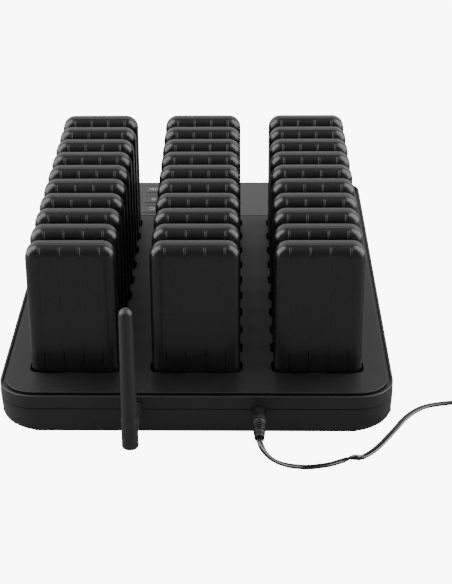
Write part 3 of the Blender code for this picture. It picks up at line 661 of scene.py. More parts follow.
# Plug-in adapter on its side: case with a seam, grip ridges, strain relief and two blades.
def makeAdapter():
    low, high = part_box("adapter")
    bodyHigh = Vector((high.x - adapter["bladeReach"], high.y, high.z))
    bodyLow = Vector((low.x, low.y + adapter["reliefReach"], low.z))
    case = addBlock("adapterCase", bodyLow, bodyHigh)
    bevelEdges(case, lambda edge: True, adapter["edge"], 6)
    middleX = (bodyLow.x + bodyHigh.x) / 2 + adapter["seamShift"]
    half, depth = adapter["seamHalf"], adapter["seamDepth"]
    seam = addBlock("seam", (middleX - half, bodyLow.y - mm, bodyLow.z - mm),
                    (middleX + half, bodyHigh.y + mm, bodyHigh.z + mm))
    core = addBlock("seamCore", (middleX - mm, bodyLow.y + depth, bodyLow.z + depth),
                    (middleX + mm, bodyHigh.y - depth, bodyHigh.z - depth))
    bevelEdges(core, along(0), adapter["edge"] - depth, 6)
    cutWith(seam, core)
    cutWith(case, seam)
    half = adapter["ridgeHalf"]
    for ridge in range(adapter["ridges"]):
        y = bodyHigh.y - adapter["ridgeStart"] - ridge * adapter["ridgePitch"]
        slot = addBlock("ridge", (bodyLow.x + 5 * mm, y - half, bodyHigh.z - half),
                        (middleX - 3 * mm, y + half, bodyHigh.z + mm))
        cutWith(case, slot)
    finishPiece(case, looks["case"], "power_lead", ("adapter",), 30)

    relief = [(0, 0), (3.5, 0), (3.5, 2.2)]
    for ring in range(adapter["rings"]):
        start = 2.6 + ring * adapter["ringPitch"]
        radius = 3.3 - ring * 0.2
        relief += [(radius - 0.5, start), (radius - 0.5, start + 0.7), (radius, start + 1),
                   (radius, start + 2)]
    relief += [(2.55, 9.6), (2.45, 10), (0, 10)]
    place = (lead["tail"][-1][0] * mm, bodyLow.y + 0.1 * mm, lead["tail"][-1][2] * mm)
    gland = turnPiece("adapterGland", relief, place, "-Y", 28)
    finishPiece(gland, looks["rubber"], "power_lead", (), 28)

    middle = (bodyLow + bodyHigh) / 2
    thin, wide = adapter["bladeHalf"]
    blades = []
    for side in (-1, 1):
        y = middle.y + side * adapter["bladeSpread"]
        blade = addBlock("blade", (bodyHigh.x - 0.5 * mm, y - thin, middle.z - wide),
                         (high.x, y + thin, middle.z + wide))
        bevelEdges(blade, inPlane(0, high.x), 0.5 * mm, 3)
        cutWith(blade, addDrum("hole", (high.x - 4 * mm, y, middle.z), adapter["bladeHole"], 4 * mm, "Y", 20))
        blades.append(blade)
    blades = joinPieces("adapterBlades", *blades)
    finishPiece(blades, looks["steel"], "power_lead", (), 30)
    return [case, gland, blades]


adapterPieces = makeAdapter()

tie = {
    "angle": 200, "width": 6 * mm, "thickness": 0.5 * mm, "corner": 1.4 * mm,
    "reach": (21.75 * mm, 32.85 * mm), "height": (0.02 * mm, 9.85 * mm),
}


# A band round all the turns of the coil at one place.
def makeTie():
    angle = radians(tie["angle"])
    out = Vector((math.cos(angle), math.sin(angle), 0))
    across = Vector((-math.sin(angle), math.cos(angle), 0))
    centre = Vector((lead["coilCentre"][0] * mm, lead["coilCentre"][1] * mm, 0))
    band = addBlock("coilTie", (tie["reach"][0], -tie["width"] / 2, tie["height"][0]),
                    (tie["reach"][1], tie["width"] / 2, tie["height"][1]))
    bevelEdges(band, lambda edge: abs(edge.verts[0].co.y - edge.verts[1].co.y) > mm, tie["corner"], 5)
    deleteFaces(band, lambda face: abs(abs(face.calc_center_median().y) - tie["width"] / 2) < 1e-5)
    shape(band, "SOLIDIFY", thickness=tie["thickness"], offset=-1)
    turn = Matrix((out, across, Vector((0, 0, 1)))).transposed().to_4x4()
    band.data.transform(Matrix.Translation(centre) @ turn)
    return finishPiece(band, looks["rubber"], "power_lead", (), 40)


coilTie = makeTie()
print(f"lead made, {leadLength:.3f} m")

# Pagers: two half shells each, with grooves down the back and a label and a lens on the face.

pager = {
    "corner": 10.5 * mm, "backEdge": (9.8 * mm, 6.6 * mm), "faceEdge": (5 * mm, 5 * mm),
    "partGap": 0.3 * mm, "partEdge": 0.35 * mm, "wall": 1.8 * mm, "partLine": -1 * mm,
    "grooves": (-22.2, -7.4, 7.4, 22.2),
    # (angle round the edge, lift, floor depth) and (height, lift, floor depth), in degrees and mm
    "bandStations": ((78, 0.7, 0.55), (66, 0.25, 0.55), (58, 0.0, 0.55), (48, 0, 0.6), (38, 0, 0.6),
                     (28, 0, 0.6), (19, 0, 0.6), (11, 0, 0.6), (5, 0.02, 0.5), (0, 0.08, 0.3)),
    "flatStations": ((127.5, 0.09, 0.2), (54, 0.07, 0.2), (50, -0.12, 1.5), (27, -0.12, 1.5), (25, 1.0, 0.3)),
    "dents": (-7.4, 7.4), "dentZ": 120, "dentRadius": 0.55,
    "label": (40, 30, 88), "labelDepth": 0.5 * mm, "labelCorner": 2.5 * mm,
    "lens": (24, 5.4, 126), "lensSink": 0.15 * mm, "slots": 5, "slotPitch": 3.4, "slotTop": 66,
    "slotHalf": (9 * mm, 0.6 * mm), "numberSize": 15 * mm,
    "contactX": 10 * mm, "contact": (6, 2.4, 3.6), "contactGap": 0.2 * mm,
    "firstRow": -144.1, "pitch": 30.3, "columns": (-92.4, 0, 92.4),
}
pagerLow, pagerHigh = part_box("pager_l01")
pagerHalf = (pagerHigh - pagerLow) / 2


# A half shell as a closed block about x = 0 and y = 0. Its outer edge is rounded by (in plane, in depth).
def halfShell(name, yOuter, yInner, edge):
    reach, depth = edge
    stretch = reach / depth
    farY = yInner + (yOuter - yInner) * stretch
    piece = addBlock(name, (-pagerHalf.x, min(farY, yInner), pagerLow.z),
                     (pagerHalf.x, max(farY, yInner), pagerHigh.z))
    bevelEdges(piece, along(1), pager["corner"], 9)
    bevelEdges(piece, inPlane(1, farY), reach, 9)
    piece.data.transform(Matrix.Translation((0, yInner, 0)) @ Matrix.Diagonal((1, 1 / stretch, 1, 1))
                         @ Matrix.Translation((0, -yInner, 0)))
    bevelEdges(piece, inPlane(1, yInner), pager["partEdge"], 2)
    return piece


# The hollow inside a half shell, open at the part line.
def hollowOut(piece, yOuter, yInner):
    wall = pager["wall"]
    way = 1 if yOuter > yInner else -1
    low, high = sorted((yOuter - way * wall, yInner - way * mm))
    hollow = addBlock("hollow", (-pagerHalf.x + wall, low, pagerLow.z + wall),
                      (pagerHalf.x - wall, high, pagerHigh.z - wall))
    bevelEdges(hollow, along(1), pager["corner"] - wall, 6)
    bevelEdges(hollow, inPlane(1, yOuter - way * wall), 4 * mm, 3)
    cutWith(piece, hollow)


# A groove's cutter follows the back from the rounded top edge down to the foot: deep over the
# rounded edge, a hairline on the flat, and a deep slit above the foot.
def grooveCutter(x, yOuter):
    reach, depth = (value / mm for value in pager["backEdge"])
    outerY, top = yOuter / mm, pagerHigh.z / mm
    stations = []
    for angle, lift, floor in pager["bandStations"]:
        turned = radians(angle)
        normal = Vector((-math.cos(turned) / depth, math.sin(turned) / reach)).normalized()
        stations.append((outerY + depth - depth * math.cos(turned), top - reach + reach * math.sin(turned),
                         normal.x, normal.y, lift, floor))
    stations += [(outerY, z, -1, 0, lift, floor) for z, lift, floor in pager["flatStations"]]
    verts = []
    for y, z, outY, outZ, lift, floor in stations:
        section = ((-1, 0.06), (-0.7, -0.04), (-0.44, -0.22), (-0.3, -floor), (0.3, -floor), (0.44, -0.22),
                   (0.7, -0.04), (1, 0.06), (1, 1.2), (-1, 1.2))   # (across, out)
        for across, out in section:
            out += lift
            verts.append((x + across * mm, (y + outY * out) * mm, (z + outZ * out) * mm))
    return skinRings("groove", verts, len(section))


def makeBackShell():
    yOuter = -pagerHalf.y
    yInner = pager["partLine"] - pager["partGap"] / 2
    piece = halfShell("pagerBack", yOuter, yInner, pager["backEdge"])
    for x in pager["grooves"]:
        cutWith(piece, grooveCutter(x * mm, yOuter))
    hollowOut(piece, yOuter, yInner)
    for x in pager["dents"]:
        place = (x * mm, yOuter, pager["dentZ"] * mm)
        cutWith(piece, addDrum("dent", place, pager["dentRadius"] * mm, 0.5 * mm, "Y", 12))
    return piece


def makeFaceShell():
    yOuter = pagerHalf.y
    yInner = pager["partLine"] + pager["partGap"] / 2
    piece = halfShell("pagerFace", yOuter, yInner, pager["faceEdge"])
    hollowOut(piece, yOuter, yInner)
    width, height, z = (value * mm for value in pager["label"])
    label = addBlock("label", (-width / 2, yOuter - pager["labelDepth"], z - height / 2),
                     (width / 2, yOuter + mm, z + height / 2))
    bevelEdges(label, along(1), pager["labelCorner"], 5)
    lensWidth, lensHeight, lensZ = (value * mm for value in pager["lens"])
    hole = addBlock("hole", (-lensWidth / 2, yOuter - 3 * mm, lensZ - lensHeight / 2),
                    (lensWidth / 2, yOuter + mm, lensZ + lensHeight / 2))
    bevelEdges(hole, along(1), lensHeight / 2 - 0.01 * mm, 6)
    cutters = [label, hole]
    halfX, halfZ = pager["slotHalf"]
    for index in range(pager["slots"]):
        slotZ = (pager["slotTop"] - index * pager["slotPitch"]) * mm
        slot = addBlock("slot", (-halfX, yOuter - 3 * mm, slotZ - halfZ), (halfX, yOuter + mm, slotZ + halfZ))
        bevelEdges(slot, along(1), 0.58 * mm, 3)
        cutters.append(slot)
    cutWith(piece, *cutters)
    return piece


def makePagerLens():
    width, height, z = (value * mm for value in pager["lens"])
    y = pagerHalf.y
    front = y - pager["lensSink"]
    piece = addBlock("pagerLens", (-width / 2 + 0.1 * mm, y - 1.7 * mm, z - height / 2 + 0.1 * mm),
                     (width / 2 - 0.1 * mm, front, z + height / 2 - 0.1 * mm))
    bevelEdges(piece, along(1), height / 2 - 0.12 * mm, 6)
    bevelEdges(piece, inPlane(1, front), 0.3 * mm, 2)
    return piece


def rowPlace(row):
    return (pager["firstRow"] + row * pager["pitch"]) * mm


# A block at each of the two contacts in the foot, grown by the spread.
def atContacts(name, y, spread, lowZ, highZ):
    halfX, halfY = (value * mm / 2 + spread for value in pager["contact"][:2])
    return [addPad(name, side * pager["contactX"], y, halfX, halfY, lowZ, highZ) for side in (-1, 1)]


contactLow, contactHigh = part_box("pager_c01_contact_left")


def makePagerContacts():
    depth, height = (value * mm for value in pager["contact"][1:])
    y = contactLow.y + depth / 2 - rowPlace(0)
    pads = atContacts("pad", y, 0, pagerLow.z, pagerLow.z + height)
    for pad in pads:
        bevelEdges(pad, inPlane(2, pagerLow.z), 0.4 * mm, 2)
    return joinPieces("pagerContacts", *pads)


backShell = makeBackShell()
faceShell = makeFaceShell()
pagerLens = makePagerLens()
pagerPads = makePagerContacts()
for shell in (backShell, faceShell):
    middleY = (contactLow.y + contactHigh.y) / 2 - rowPlace(0)
    cutWith(shell, *atContacts("hole", middleY, pager["contactGap"], pagerLow.z - mm, pagerLow.z + 3 * mm))

for column, columnX in enumerate(pager["columns"]):
    for row in range(rowCount):
        node = f"pager_{letters[column]}{row + 1:02d}"
        shift = Vector((columnX * mm, rowPlace(row), 0))
        title = f"{letters[column].upper()}{row + 1:02d}"
        opened = node == "pager_c01"
        parts = (("Back", backShell, "pager", "pager", (f"{node}_back_shell",) if opened else (node,), 30),
                 ("Face", faceShell, "pager", "pager", (f"{node}_face_shell",) if opened else (), 30),
                 ("Lens", pagerLens, "lamp", "pager", (), 40))
        for part, spare, look, slotName, replaced, smooth in parts:
            piece = copyPiece(spare, f"pager{part}{title}", shift)
            finishPiece(piece, looks[look], node, replaced, smooth)
        number = addText(f"pagerNumber{title}", str(column * rowCount + row + 1), pager["numberSize"],
                         (columnX * mm, rowPlace(row) + pagerHalf.y - pager["labelDepth"] + 0.05 * mm,
                          pager["label"][2] * mm), 0.2 * mm, (radians(90), 0, radians(180)))
        finishPiece(number, looks["print"], node, (), 0)
        if not opened:
            pads = copyPiece(pagerPads, f"pagerPads{title}", shift)
            finishPiece(pads, looks["gold"], node, (), 30)
for spare in (backShell, faceShell, pagerLens, pagerPads):
    bpy.data.objects.remove(spare)
print("pagers made")

# Base: two shells with a seam between them, the deck with its pockets, and four feet.

base = {
    "half": 148.75 * mm, "rear": -188.8 * mm, "front": 230.7 * mm, "rearCorner": 28 * mm,
    "frontCorner": 20 * mm, "bottom": 2.4 * mm, "seam": 24.2 * mm, "rim": 35 * mm,
    "deck": 36 * mm, "ledge": 33 * mm, "ledgeUnder": 30.5 * mm, "ledgeReach": 9 * mm,
    "rimWidth": 1.8 * mm, "wall": 2.4 * mm, "bottomEdge": 6.5 * mm, "softening": 8 * mm,
    "seamHalf": 0.22 * mm, "plateInset": 4.4 * mm, "plateUnder": 33.3 * mm,
    "keypadSeam": 146.2 * mm, "antennaHole": 5.1 * mm, "inletHole": 5.6 * mm,
    "ribs": (-130, -8, 114), "ribTop": 13.9 * mm, "posts": ((-95, 180), (95, 180)), "postTop": 27.7 * mm,
    "screws": ((-128, -70), (128, -70), (-128, 90), (128, 90), (0, -170), (0, 205)),
    "wellRadius": 4 * mm, "headRadius": 3.1 * mm, "headDepth": 0.6 * mm,
    "vents": 9, "ventPitch": 7, "ventStart": 70, "ventX": 62 * mm, "ventHalf": 16 * mm,
    "label": (0, -5 * mm, 45 * mm, 25 * mm), "joinGap": 0.15 * mm,
}
antennaSeat = Vector((-46.2 * mm, base["rear"], base["seam"]))
inletSeat = Vector((47.4 * mm, base["rear"], base["seam"]))


# A block with the base's outline drawn in by the inset, its corners rounded in plan.
def outlineBlock(name, inset, lowZ, highZ, lowY=None, highY=None, segments=10):
    half = base["half"] - inset
    rear = base["rear"] + inset if lowY is None else lowY
    front = base["front"] - inset if highY is None else highY
    piece = addBlock(name, (-half, rear, lowZ), (half, front, highZ))
    if lowY is None:
        bevelEdges(piece, along(2, lambda middle: middle.y < 0), base["rearCorner"] - inset, segments)
    if highY is None:
        bevelEdges(piece, along(2, lambda middle: middle.y > 0), base["frontCorner"] - inset, segments)
    return piece


# The corners in plan grow rounder from the seam down to the bottom.
def softenCorners(piece):
    bm = bmesh.new()
    bm.from_mesh(piece.data)
    for vert in bm.verts:
        drop = (base["seam"] - vert.co.z) / (base["seam"] - base["bottom"])
        corner = base["rearCorner"] if vert.co.y < 0 else base["frontCorner"]
        sideX = math.copysign(1, vert.co.x)
        sideY = math.copysign(1, vert.co.y)
        edgeY = base["rear"] if sideY < 0 else base["front"]
        centre = Vector((sideX * (base["half"] - corner), edgeY - sideY * corner))
        out = Vector((vert.co.x - centre.x, vert.co.y - centre.y))
        if out.x * sideX < -1e-6 or out.y * sideY < -1e-6 or out.length < 5 * mm:
            continue
        shift = (out.normalized() - Vector((sideX, sideY))) * base["softening"] * max(drop, 0)
        vert.co.x += shift.x
        vert.co.y += shift.y
    bm.to_mesh(piece.data)
    bm.free()


def connectorHoles():
    return [addDrum("hole", antennaSeat, base["antennaHole"], 12 * mm, "Y", 36),
            addDrum("hole", inletSeat, base["inletHole"], 12 * mm, "Y", 36)]


def makeLowerShell():
    top = base["seam"] - base["seamHalf"]
    piece = outlineBlock("lowerShell", 0, base["bottom"], top)
    bevelEdges(piece, inPlane(2, base["bottom"]), base["bottomEdge"], 7)
    deleteFaces(piece, inPlane(2, top))
    shape(piece, "SOLIDIFY", thickness=base["wall"], offset=-1, use_even_offset=True)
    softenCorners(piece)
    bevelEdges(piece, lambda edge: all(abs(v.co.z - top) < 1e-6 for v in edge.verts)
               and any(abs(face.normal.z) < 0.3 and outwards(face) for face in edge.link_faces), 0.25 * mm, 2)
    floor = base["bottom"] + base["wall"] / 2
    for y in base["ribs"]:
        rib = addBlock("rib", (-118 * mm, (y - 1) * mm, floor), (118 * mm, (y + 1) * mm, base["ribTop"]))
        cutWith(piece, rib, operation="UNION")
    for x, y in base["posts"]:
        middle = (x * mm, y * mm, (floor + base["postTop"]) / 2)
        cutWith(piece, addDrum("post", middle, 3 * mm, base["postTop"] - floor), operation="UNION")
    cutWith(piece, *connectorHoles())
    for x, y in base["screws"]:
        place = (x * mm, y * mm, base["bottom"])
        cutWith(piece, addDrum("well", place, base["wellRadius"], 2.4 * mm, "Z", 28))
    label = addPad("label", *base["label"], base["bottom"] - mm, base["bottom"] + 0.4 * mm)
    bevelEdges(label, along(2), 3 * mm, 5)
    cutters = [label]
    for side in (-1, 1):
        for index in range(base["vents"]):
            y = (base["ventStart"] + index * base["ventPitch"]) * mm
            vent = addPad("vent", side * base["ventX"], y, base["ventHalf"], mm, base["bottom"] - mm,
                          base["bottom"] + 4 * mm)
            bevelEdges(vent, along(2), 0.95 * mm, 4)
            cutters.append(vent)
    cutWith(piece, joinPieces("openings", *cutters))
    return finishPiece(piece, looks["case"], "base", ("lower_shell",), 30)


# Whether a face looks away from the middle of the base.
def outwards(face):
    middle = face.calc_center_median()
    return face.normal.x * middle.x + face.normal.y * (middle.y - 20 * mm) > 0


def makeUpperShell():
    low = base["seam"] + base["seamHalf"]
    piece = outlineBlock("upperShell", 0, low, base["rim"])
    bevelEdges(piece, inPlane(2, base["rim"]), 0.6 * mm, 4)
    bevelEdges(piece, inPlane(2, low), 0.25 * mm, 2)
    meet = (base["ledge"] + base["ledgeUnder"]) / 2
    insetFaces(piece, inPlane(2, base["rim"]), (base["rimWidth"] - 0.6 * mm, 0),
               (0, base["ledge"] - base["rim"]), (base["ledgeReach"] - base["rimWidth"], 0),
               (0, meet - base["ledge"]))
    insetFaces(piece, inPlane(2, low), (base["wall"] - 0.25 * mm, 0), (0, low - base["ledgeUnder"]),
               (base["ledgeReach"] - base["wall"], 0), (0, base["ledgeUnder"] - meet))
    deleteFaces(piece, inPlane(2, meet))
    pick(piece)
    bpy.ops.object.mode_set(mode="EDIT")
    bpy.ops.mesh.select_all(action="SELECT")
    bpy.ops.mesh.remove_doubles(threshold=5e-6)
    bpy.ops.mesh.normals_make_consistent(inside=False)
    bpy.ops.object.mode_set(mode="OBJECT")
    bevelEdges(piece, inPlane(2, base["rim"], lambda middle: max(abs(middle.x) - base["half"],
               middle.y - base["front"], base["rear"] - middle.y) < -1.5 * mm), 0.25 * mm, 2)
    cutWith(piece, *connectorHoles())
    return finishPiece(piece, looks["case"], "base", ("upper_shell",), 30)


makeLowerShell()
makeUpperShell()


def makeScrews():
    heads = []
    for x, y in base["screws"]:
        place = (x * mm, y * mm, base["bottom"] + 0.45 * mm)
        depth = base["headDepth"]
        head = addDrum("screw", place, base["headRadius"], 2 * depth, "Z", 28)
        bevelEdges(head, inPlane(2, place[2] - depth), 0.35 * mm, 2)
        for turn in (0, 90):
            slot = addBlock("slot", (-1.9 * mm, -0.35 * mm, -0.5 * mm), (1.9 * mm, 0.35 * mm, 0.5 * mm))
            slot.data.transform(Matrix.Translation((place[0], place[1], place[2] - depth))
                                @ Matrix.Rotation(radians(turn), 4, "Z"))
            cutWith(head, slot)
        heads.append(head)
    made = joinPieces("shellScrews", *heads)
    return finishPiece(made, looks["nickel"], "base", (), 30)


makeScrews()

pocket = {
    "half": (35 * mm, 9.7 * mm), "corner": 6 * mm, "floor": 19 * mm, "wall": 1.3 * mm,
    "bulges": (-16.5 * mm, 16.5 * mm), "bulgeHalf": 11 * mm, "bulgeDepth": 1.3 * mm,
    "window": (18 * mm, 3.5 * mm),
}


# A slot's solid: a long rounded hole whose near side has two shallow bulges for the fingers.
def slotSolid(name, spread, lowZ, highZ):
    halfX, halfY = (value + spread for value in pocket["half"])
    solid = addBlock(name, (-halfX, -halfY, lowZ), (halfX, halfY, highZ))
    bevelEdges(solid, along(2), pocket["corner"] + spread, 6)
    for x in pocket["bulges"]:
        radius = pocket["bulgeHalf"] + spread
        bulge = addDrum("bulge", (0, 0, (lowZ + highZ) / 2), radius, highZ - lowZ, "Z", 40,
                        (pocket["bulgeDepth"] + spread) / radius)
        bulge.data.transform(Matrix.Translation((x, -pocket["half"][1], 0)))
        cutWith(solid, bulge, operation="UNION")
    return solid


def arrayOfPockets(piece, name):
    parts = [copyPiece(piece, name, Vector((x * mm, rowPlace(row), 0)))
             for x in pager["columns"] for row in range(rowCount)]
    bpy.data.objects.remove(piece)
    return joinPieces(name, *parts)


def makeDeck():
    plate = outlineBlock("deckPlate", base["plateInset"], base["plateUnder"], base["deck"],
                         highY=base["keypadSeam"] - base["joinGap"])
    bevelEdges(plate, inPlane(2, base["deck"]), 0.5 * mm, 3)
    solid = slotSolid("slots", 0, base["plateUnder"] - mm, base["deck"] + mm)
    cutWith(plate, arrayOfPockets(solid, "slots"))
    edgeY = base["rear"] + base["plateInset"] + 2 * mm
    bevelEdges(plate, inPlane(2, base["deck"], lambda middle: abs(middle.x) < 130 * mm
               and edgeY < middle.y < base["keypadSeam"] - 2 * mm), 0.4 * mm, 2)
    finishPiece(plate, looks["deck"], "base", ("deck",), 30)

    cup = slotSolid("pocketCups", pocket["wall"], pocket["floor"] - pocket["wall"],
                    base["plateUnder"] - 0.05 * mm)
    cutWith(cup, slotSolid("inside", 0, pocket["floor"], base["plateUnder"] + mm))
    cutWith(cup, addPad("window", 0, 0, *pocket["window"], pocket["floor"] - 3 * mm, pocket["floor"] + mm))
    cups = arrayOfPockets(cup, "pocketCups")
    finishPiece(cups, looks["case"], "base", (), 30)


makeDeck()
print("base shells and deck made")


def makeFeet():
    for corner in ("rear_left", "rear_right", "front_left", "front_right"):
        low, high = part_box(f"foot_{corner}")
        place = ((low.x + high.x) / 2, (low.y + high.y) / 2, 0)
        top = high.z / mm
        profile = [(0, 0.3), (3.4, 0.3), (3.8, 0), (5.9, 0), (6.3, 0.15), (6.9, 0.7), (7, 1.1), (7, top),
                   (0, top)]
        foot = turnPiece("foot" + corner.title().replace("_", ""), profile, place, "Z", 36)
        finishPiece(foot, looks["rubber"], "base", (f"foot_{corner}",), 30)


makeFeet()

panel = {
    "edge": 0.4 * mm, "openingGap": 0.3 * mm, "openingCorner": 1.5 * mm,
    "keyColumns": (25, 0, -25, -50), "keyRows": (162.2, 185.6, 211), "keySize": (19, 17, 0.35),
    "keyCorner": 3 * mm, "legends": (("1", "2", "3", "C"), ("4", "5", "6", "0"), ("7", "8", "9", "OK")),
    "legendSize": 8.5 * mm, "legendWeight": 0.3 * mm, "legendSink": 0.18 * mm,
    "lensLow": (62, 194.5), "lensHigh": (122, 214.5), "lensSink": 0.2 * mm,
    "lamps": (70, 84, 98, 112), "lampY": 181, "lampHole": 1.9 * mm,
    "frameInset": 5.5 * mm, "frameWidth": 0.8 * mm, "frameDepth": 0.25 * mm, "frameCorner": 3 * mm,
}


# The outline of the panel drawn in by the inset, with its near corners rounded too.
def frameBlock(name, inset, lowZ, highZ, corner):
    piece = outlineBlock(name, base["plateInset"] + inset, lowZ, highZ,
                         lowY=base["keypadSeam"] + base["joinGap"] + inset)
    bevelEdges(piece, along(2, lambda middle: middle.y < 150 * mm + inset), corner, 4)
    return piece


def makeFilm():
    deck = base["deck"]
    film = outlineBlock("controlPanel", base["plateInset"], base["plateUnder"], deck,
                        lowY=base["keypadSeam"] + base["joinGap"])
    bevelEdges(film, inPlane(2, deck), panel["edge"], 3)
    x0, y0 = (value * mm - panel["openingGap"] for value in panel["lensLow"])
    x1, y1 = (value * mm + panel["openingGap"] for value in panel["lensHigh"])
    opening = addBlock("opening", (x0, y0, base["plateUnder"] - mm), (x1, y1, deck + mm))
    bevelEdges(opening, along(2), panel["openingCorner"], 4)
    cutWith(film, opening)
    for x in panel["lamps"]:
        place = (x * mm, panel["lampY"] * mm, deck)
        cutWith(film, addDrum("hole", place, panel["lampHole"], 3 * mm, "Z", 24))
    ring = frameBlock("ring", panel["frameInset"], deck - panel["frameDepth"], deck + mm,
                      panel["frameCorner"])
    cutWith(ring, frameBlock("core", panel["frameInset"] + panel["frameWidth"], deck - mm, deck + 2 * mm,
                             panel["frameCorner"] - 0.6 * mm))
    cutWith(film, ring)
    return finishPiece(film, looks["overlay"], "base", ("control_panel",), 30)


def makeDisplay():
    x0, y0 = (value * mm for value in panel["lensLow"])
    x1, y1 = (value * mm for value in panel["lensHigh"])
    top = base["deck"] - panel["lensSink"]
    lens = addBlock("displayLens", (x0, y0, base["plateUnder"]), (x1, y1, top))
    bevelEdges(lens, along(2), 1.3 * mm, 4)
    bevelEdges(lens, inPlane(2, top), 0.3 * mm, 2)
    return finishPiece(lens, looks["lens"], "base", ("display_lens",), 30)


def makeKeys():
    pads, legends = [], []
    halfX, halfY = (value * mm / 2 for value in panel["keySize"][:2])
    top = base["deck"] + panel["keySize"][2] * mm
    for row, y in zip(panel["legends"], panel["keyRows"]):
        for legend, x in zip(row, panel["keyColumns"]):
            key = addPad("key", x * mm, y * mm, halfX, halfY, base["deck"] - 0.1 * mm, top)
            bevelEdges(key, along(2), panel["keyCorner"], 5)
            bevelEdges(key, inPlane(2, top), panel["edge"], 3)
            insetFaces(key, inPlane(2, top), (1.1 * mm, 0), (0.35 * mm, -0.2 * mm))
            pads.append(key)
            place = (x * mm, y * mm, top - panel["legendSink"])
            legends.append(addText("legend", legend, panel["legendSize"], place, 0.12 * mm,
                                   (0, 0, radians(180)), panel["legendWeight"]))
    finishPiece(joinPieces("keyPads", *pads), looks["key"], "base", (), 30)
    finishPiece(joinPieces("keyLegends", *legends), looks["print"], "base", (), 0)


def makeLamps():
    profile = [(0, -2.4), (1.8, -2.4), (1.8, -0.1), (1.6, 0.25), (1.1, 0.5), (0.5, 0.62), (0, 0.65)]
    lamps = [turnPiece("lamp", profile, (x * mm, panel["lampY"] * mm, base["deck"]), "Z", 24)
             for x in panel["lamps"]]
    finishPiece(joinPieces("statusLamps", *lamps), looks["lamp"], "base", (), 40)


makeFilm()
makeDisplay()
makeKeys()
makeLamps()

boards = {
    "main": ((-130, 154, 28), (130, 215, 29.6)), "mainHoles": ((-120, 162), (120, 162)),
    "width": 44, "low": 14.2, "thick": 1.6, "sink": 0.02 * mm,
    "block": (30, 4, 18.6), "pinRadius": 0.9, "reach": 12,
    "chips": ((-60, 180, 16, 16, 1.6), (-20, 176, 10, 14, 1.5), (15, 192, 8, 6, 1.2), (92, 186, 50, 14, 3.2),
              (-100, 200, 12, 8, 2.4), (50, 165, 7, 7, 1.4), (-30, 202, 20, 5, 1.8)),
}


def makeMainBoard():
    low, high = (Vector(corner) * mm for corner in boards["main"])
    mainBoard = addBlock("mainBoard", low, high)
    for x, y in boards["mainHoles"]:
        cutWith(mainBoard, addDrum("hole", (x * mm, y * mm, high.z), 1.7 * mm, 6 * mm, "Z", 20))
    finishPiece(mainBoard, looks["board"], "base", ("main_board",), 30)
    chips = []
    for x, y, sizeX, sizeY, height in boards["chips"]:
        top = high.z + height * mm
        chip = addBlock("chip", ((x - sizeX / 2) * mm, (y - sizeY / 2) * mm, high.z - boards["sink"]),
                        ((x + sizeX / 2) * mm, (y + sizeY / 2) * mm, top))
        bevelEdges(chip, inPlane(2, top), 0.2 * mm, 2)
        chips.append(chip)
    finishPiece(joinPieces("mainBoardChips", *chips), looks["jack"], "base", (), 30)


# A charge board under one column of pockets, with a contact block and two pins for each pager.
def makeChargeBoard(node, side, columnX):
    top = (boards["low"] + boards["thick"]) * mm
    reach = boards["reach"] * mm
    board = addBlock(f"chargeBoard{side}",
                     ((columnX - boards["width"] / 2) * mm, rowPlace(0) - reach, boards["low"] * mm),
                     ((columnX + boards["width"] / 2) * mm, rowPlace(rowCount - 1) + reach, top))
    finishPiece(board, looks["board"], "base", (node,), 30)
    blocks, pins = [], []
    sizeX, sizeY, blockTop = boards["block"]
    radius = boards["pinRadius"]
    profile = [(0, 0), (radius, 0), (radius, 0.25), (0.6, 0.38), (0, 0.4)]
    for row in range(rowCount):
        y = rowPlace(row)
        block = addBlock("block", ((columnX - sizeX / 2) * mm, y - sizeY / 2 * mm, top - boards["sink"]),
                         ((columnX + sizeX / 2) * mm, y + sizeY / 2 * mm, blockTop * mm))
        bevelEdges(block, inPlane(2, blockTop * mm), 0.3 * mm, 2)
        blocks.append(block)
        for way in (-1, 1):
            place = (columnX * mm + way * pager["contactX"], y, blockTop * mm)
            pins.append(turnPiece("pin", profile, place, "Z", 16))
    finishPiece(joinPieces(f"chargeBlocks{side}", *blocks), looks["jack"], "base", (), 30)
    finishPiece(joinPieces(f"chargePins{side}", *pins), looks["gold"], "base", (), 40)


makeMainBoard()
for side, columnX in zip(("Left", "Centre", "Right"), pager["columns"]):
    makeChargeBoard(f"charge_board_{side.lower()}", side, columnX)
print("panel and boards made")

# Antenna and power jack on the rear wall.

antenna = {
    "pivot": (-46.2 * mm, -224.5 * mm, 24.2 * mm), "tongue": (4.6, 3.2), "slot": (5.2, 3.5, 28.2),
    "knuckle": (6.2, 13.8, 38.9), "sleeve": (39.2, 126.6, 5.9, 5.0), "ringZ": 108.5,
    "pin": (1.2, 10.8), "eyeHole": 1.45 * mm, "forkHole": 1.5 * mm, "flatHeight": 7.4 * mm,
}


def makeBush():
    profile = [(2.6, 2.3), (6.7, 2.3), (7.0, 2.15), (7.2, 1.8), (7.2, 0.3), (4.8, 0.3), (4.8, -2.7),
               (5.9, -2.7), (5.9, -7), (2.6, -7), (2.6, 2.3)]
    made = turnPiece("antennaBush", profile, antennaSeat, "-Y", 48)
    for side in (-1, 1):
        z = antennaSeat.z + side * antenna["flatHeight"]
        flat = addBlock("flat", (antennaSeat.x - 8 * mm, antennaSeat.y - 2.6 * mm, z - mm),
                        (antennaSeat.x + 8 * mm, antennaSeat.y - 0.9 * mm, z + mm))
        cutWith(made, flat)
    return finishPiece(made, looks["nickel"], "base", ("antenna_bush",), 30)


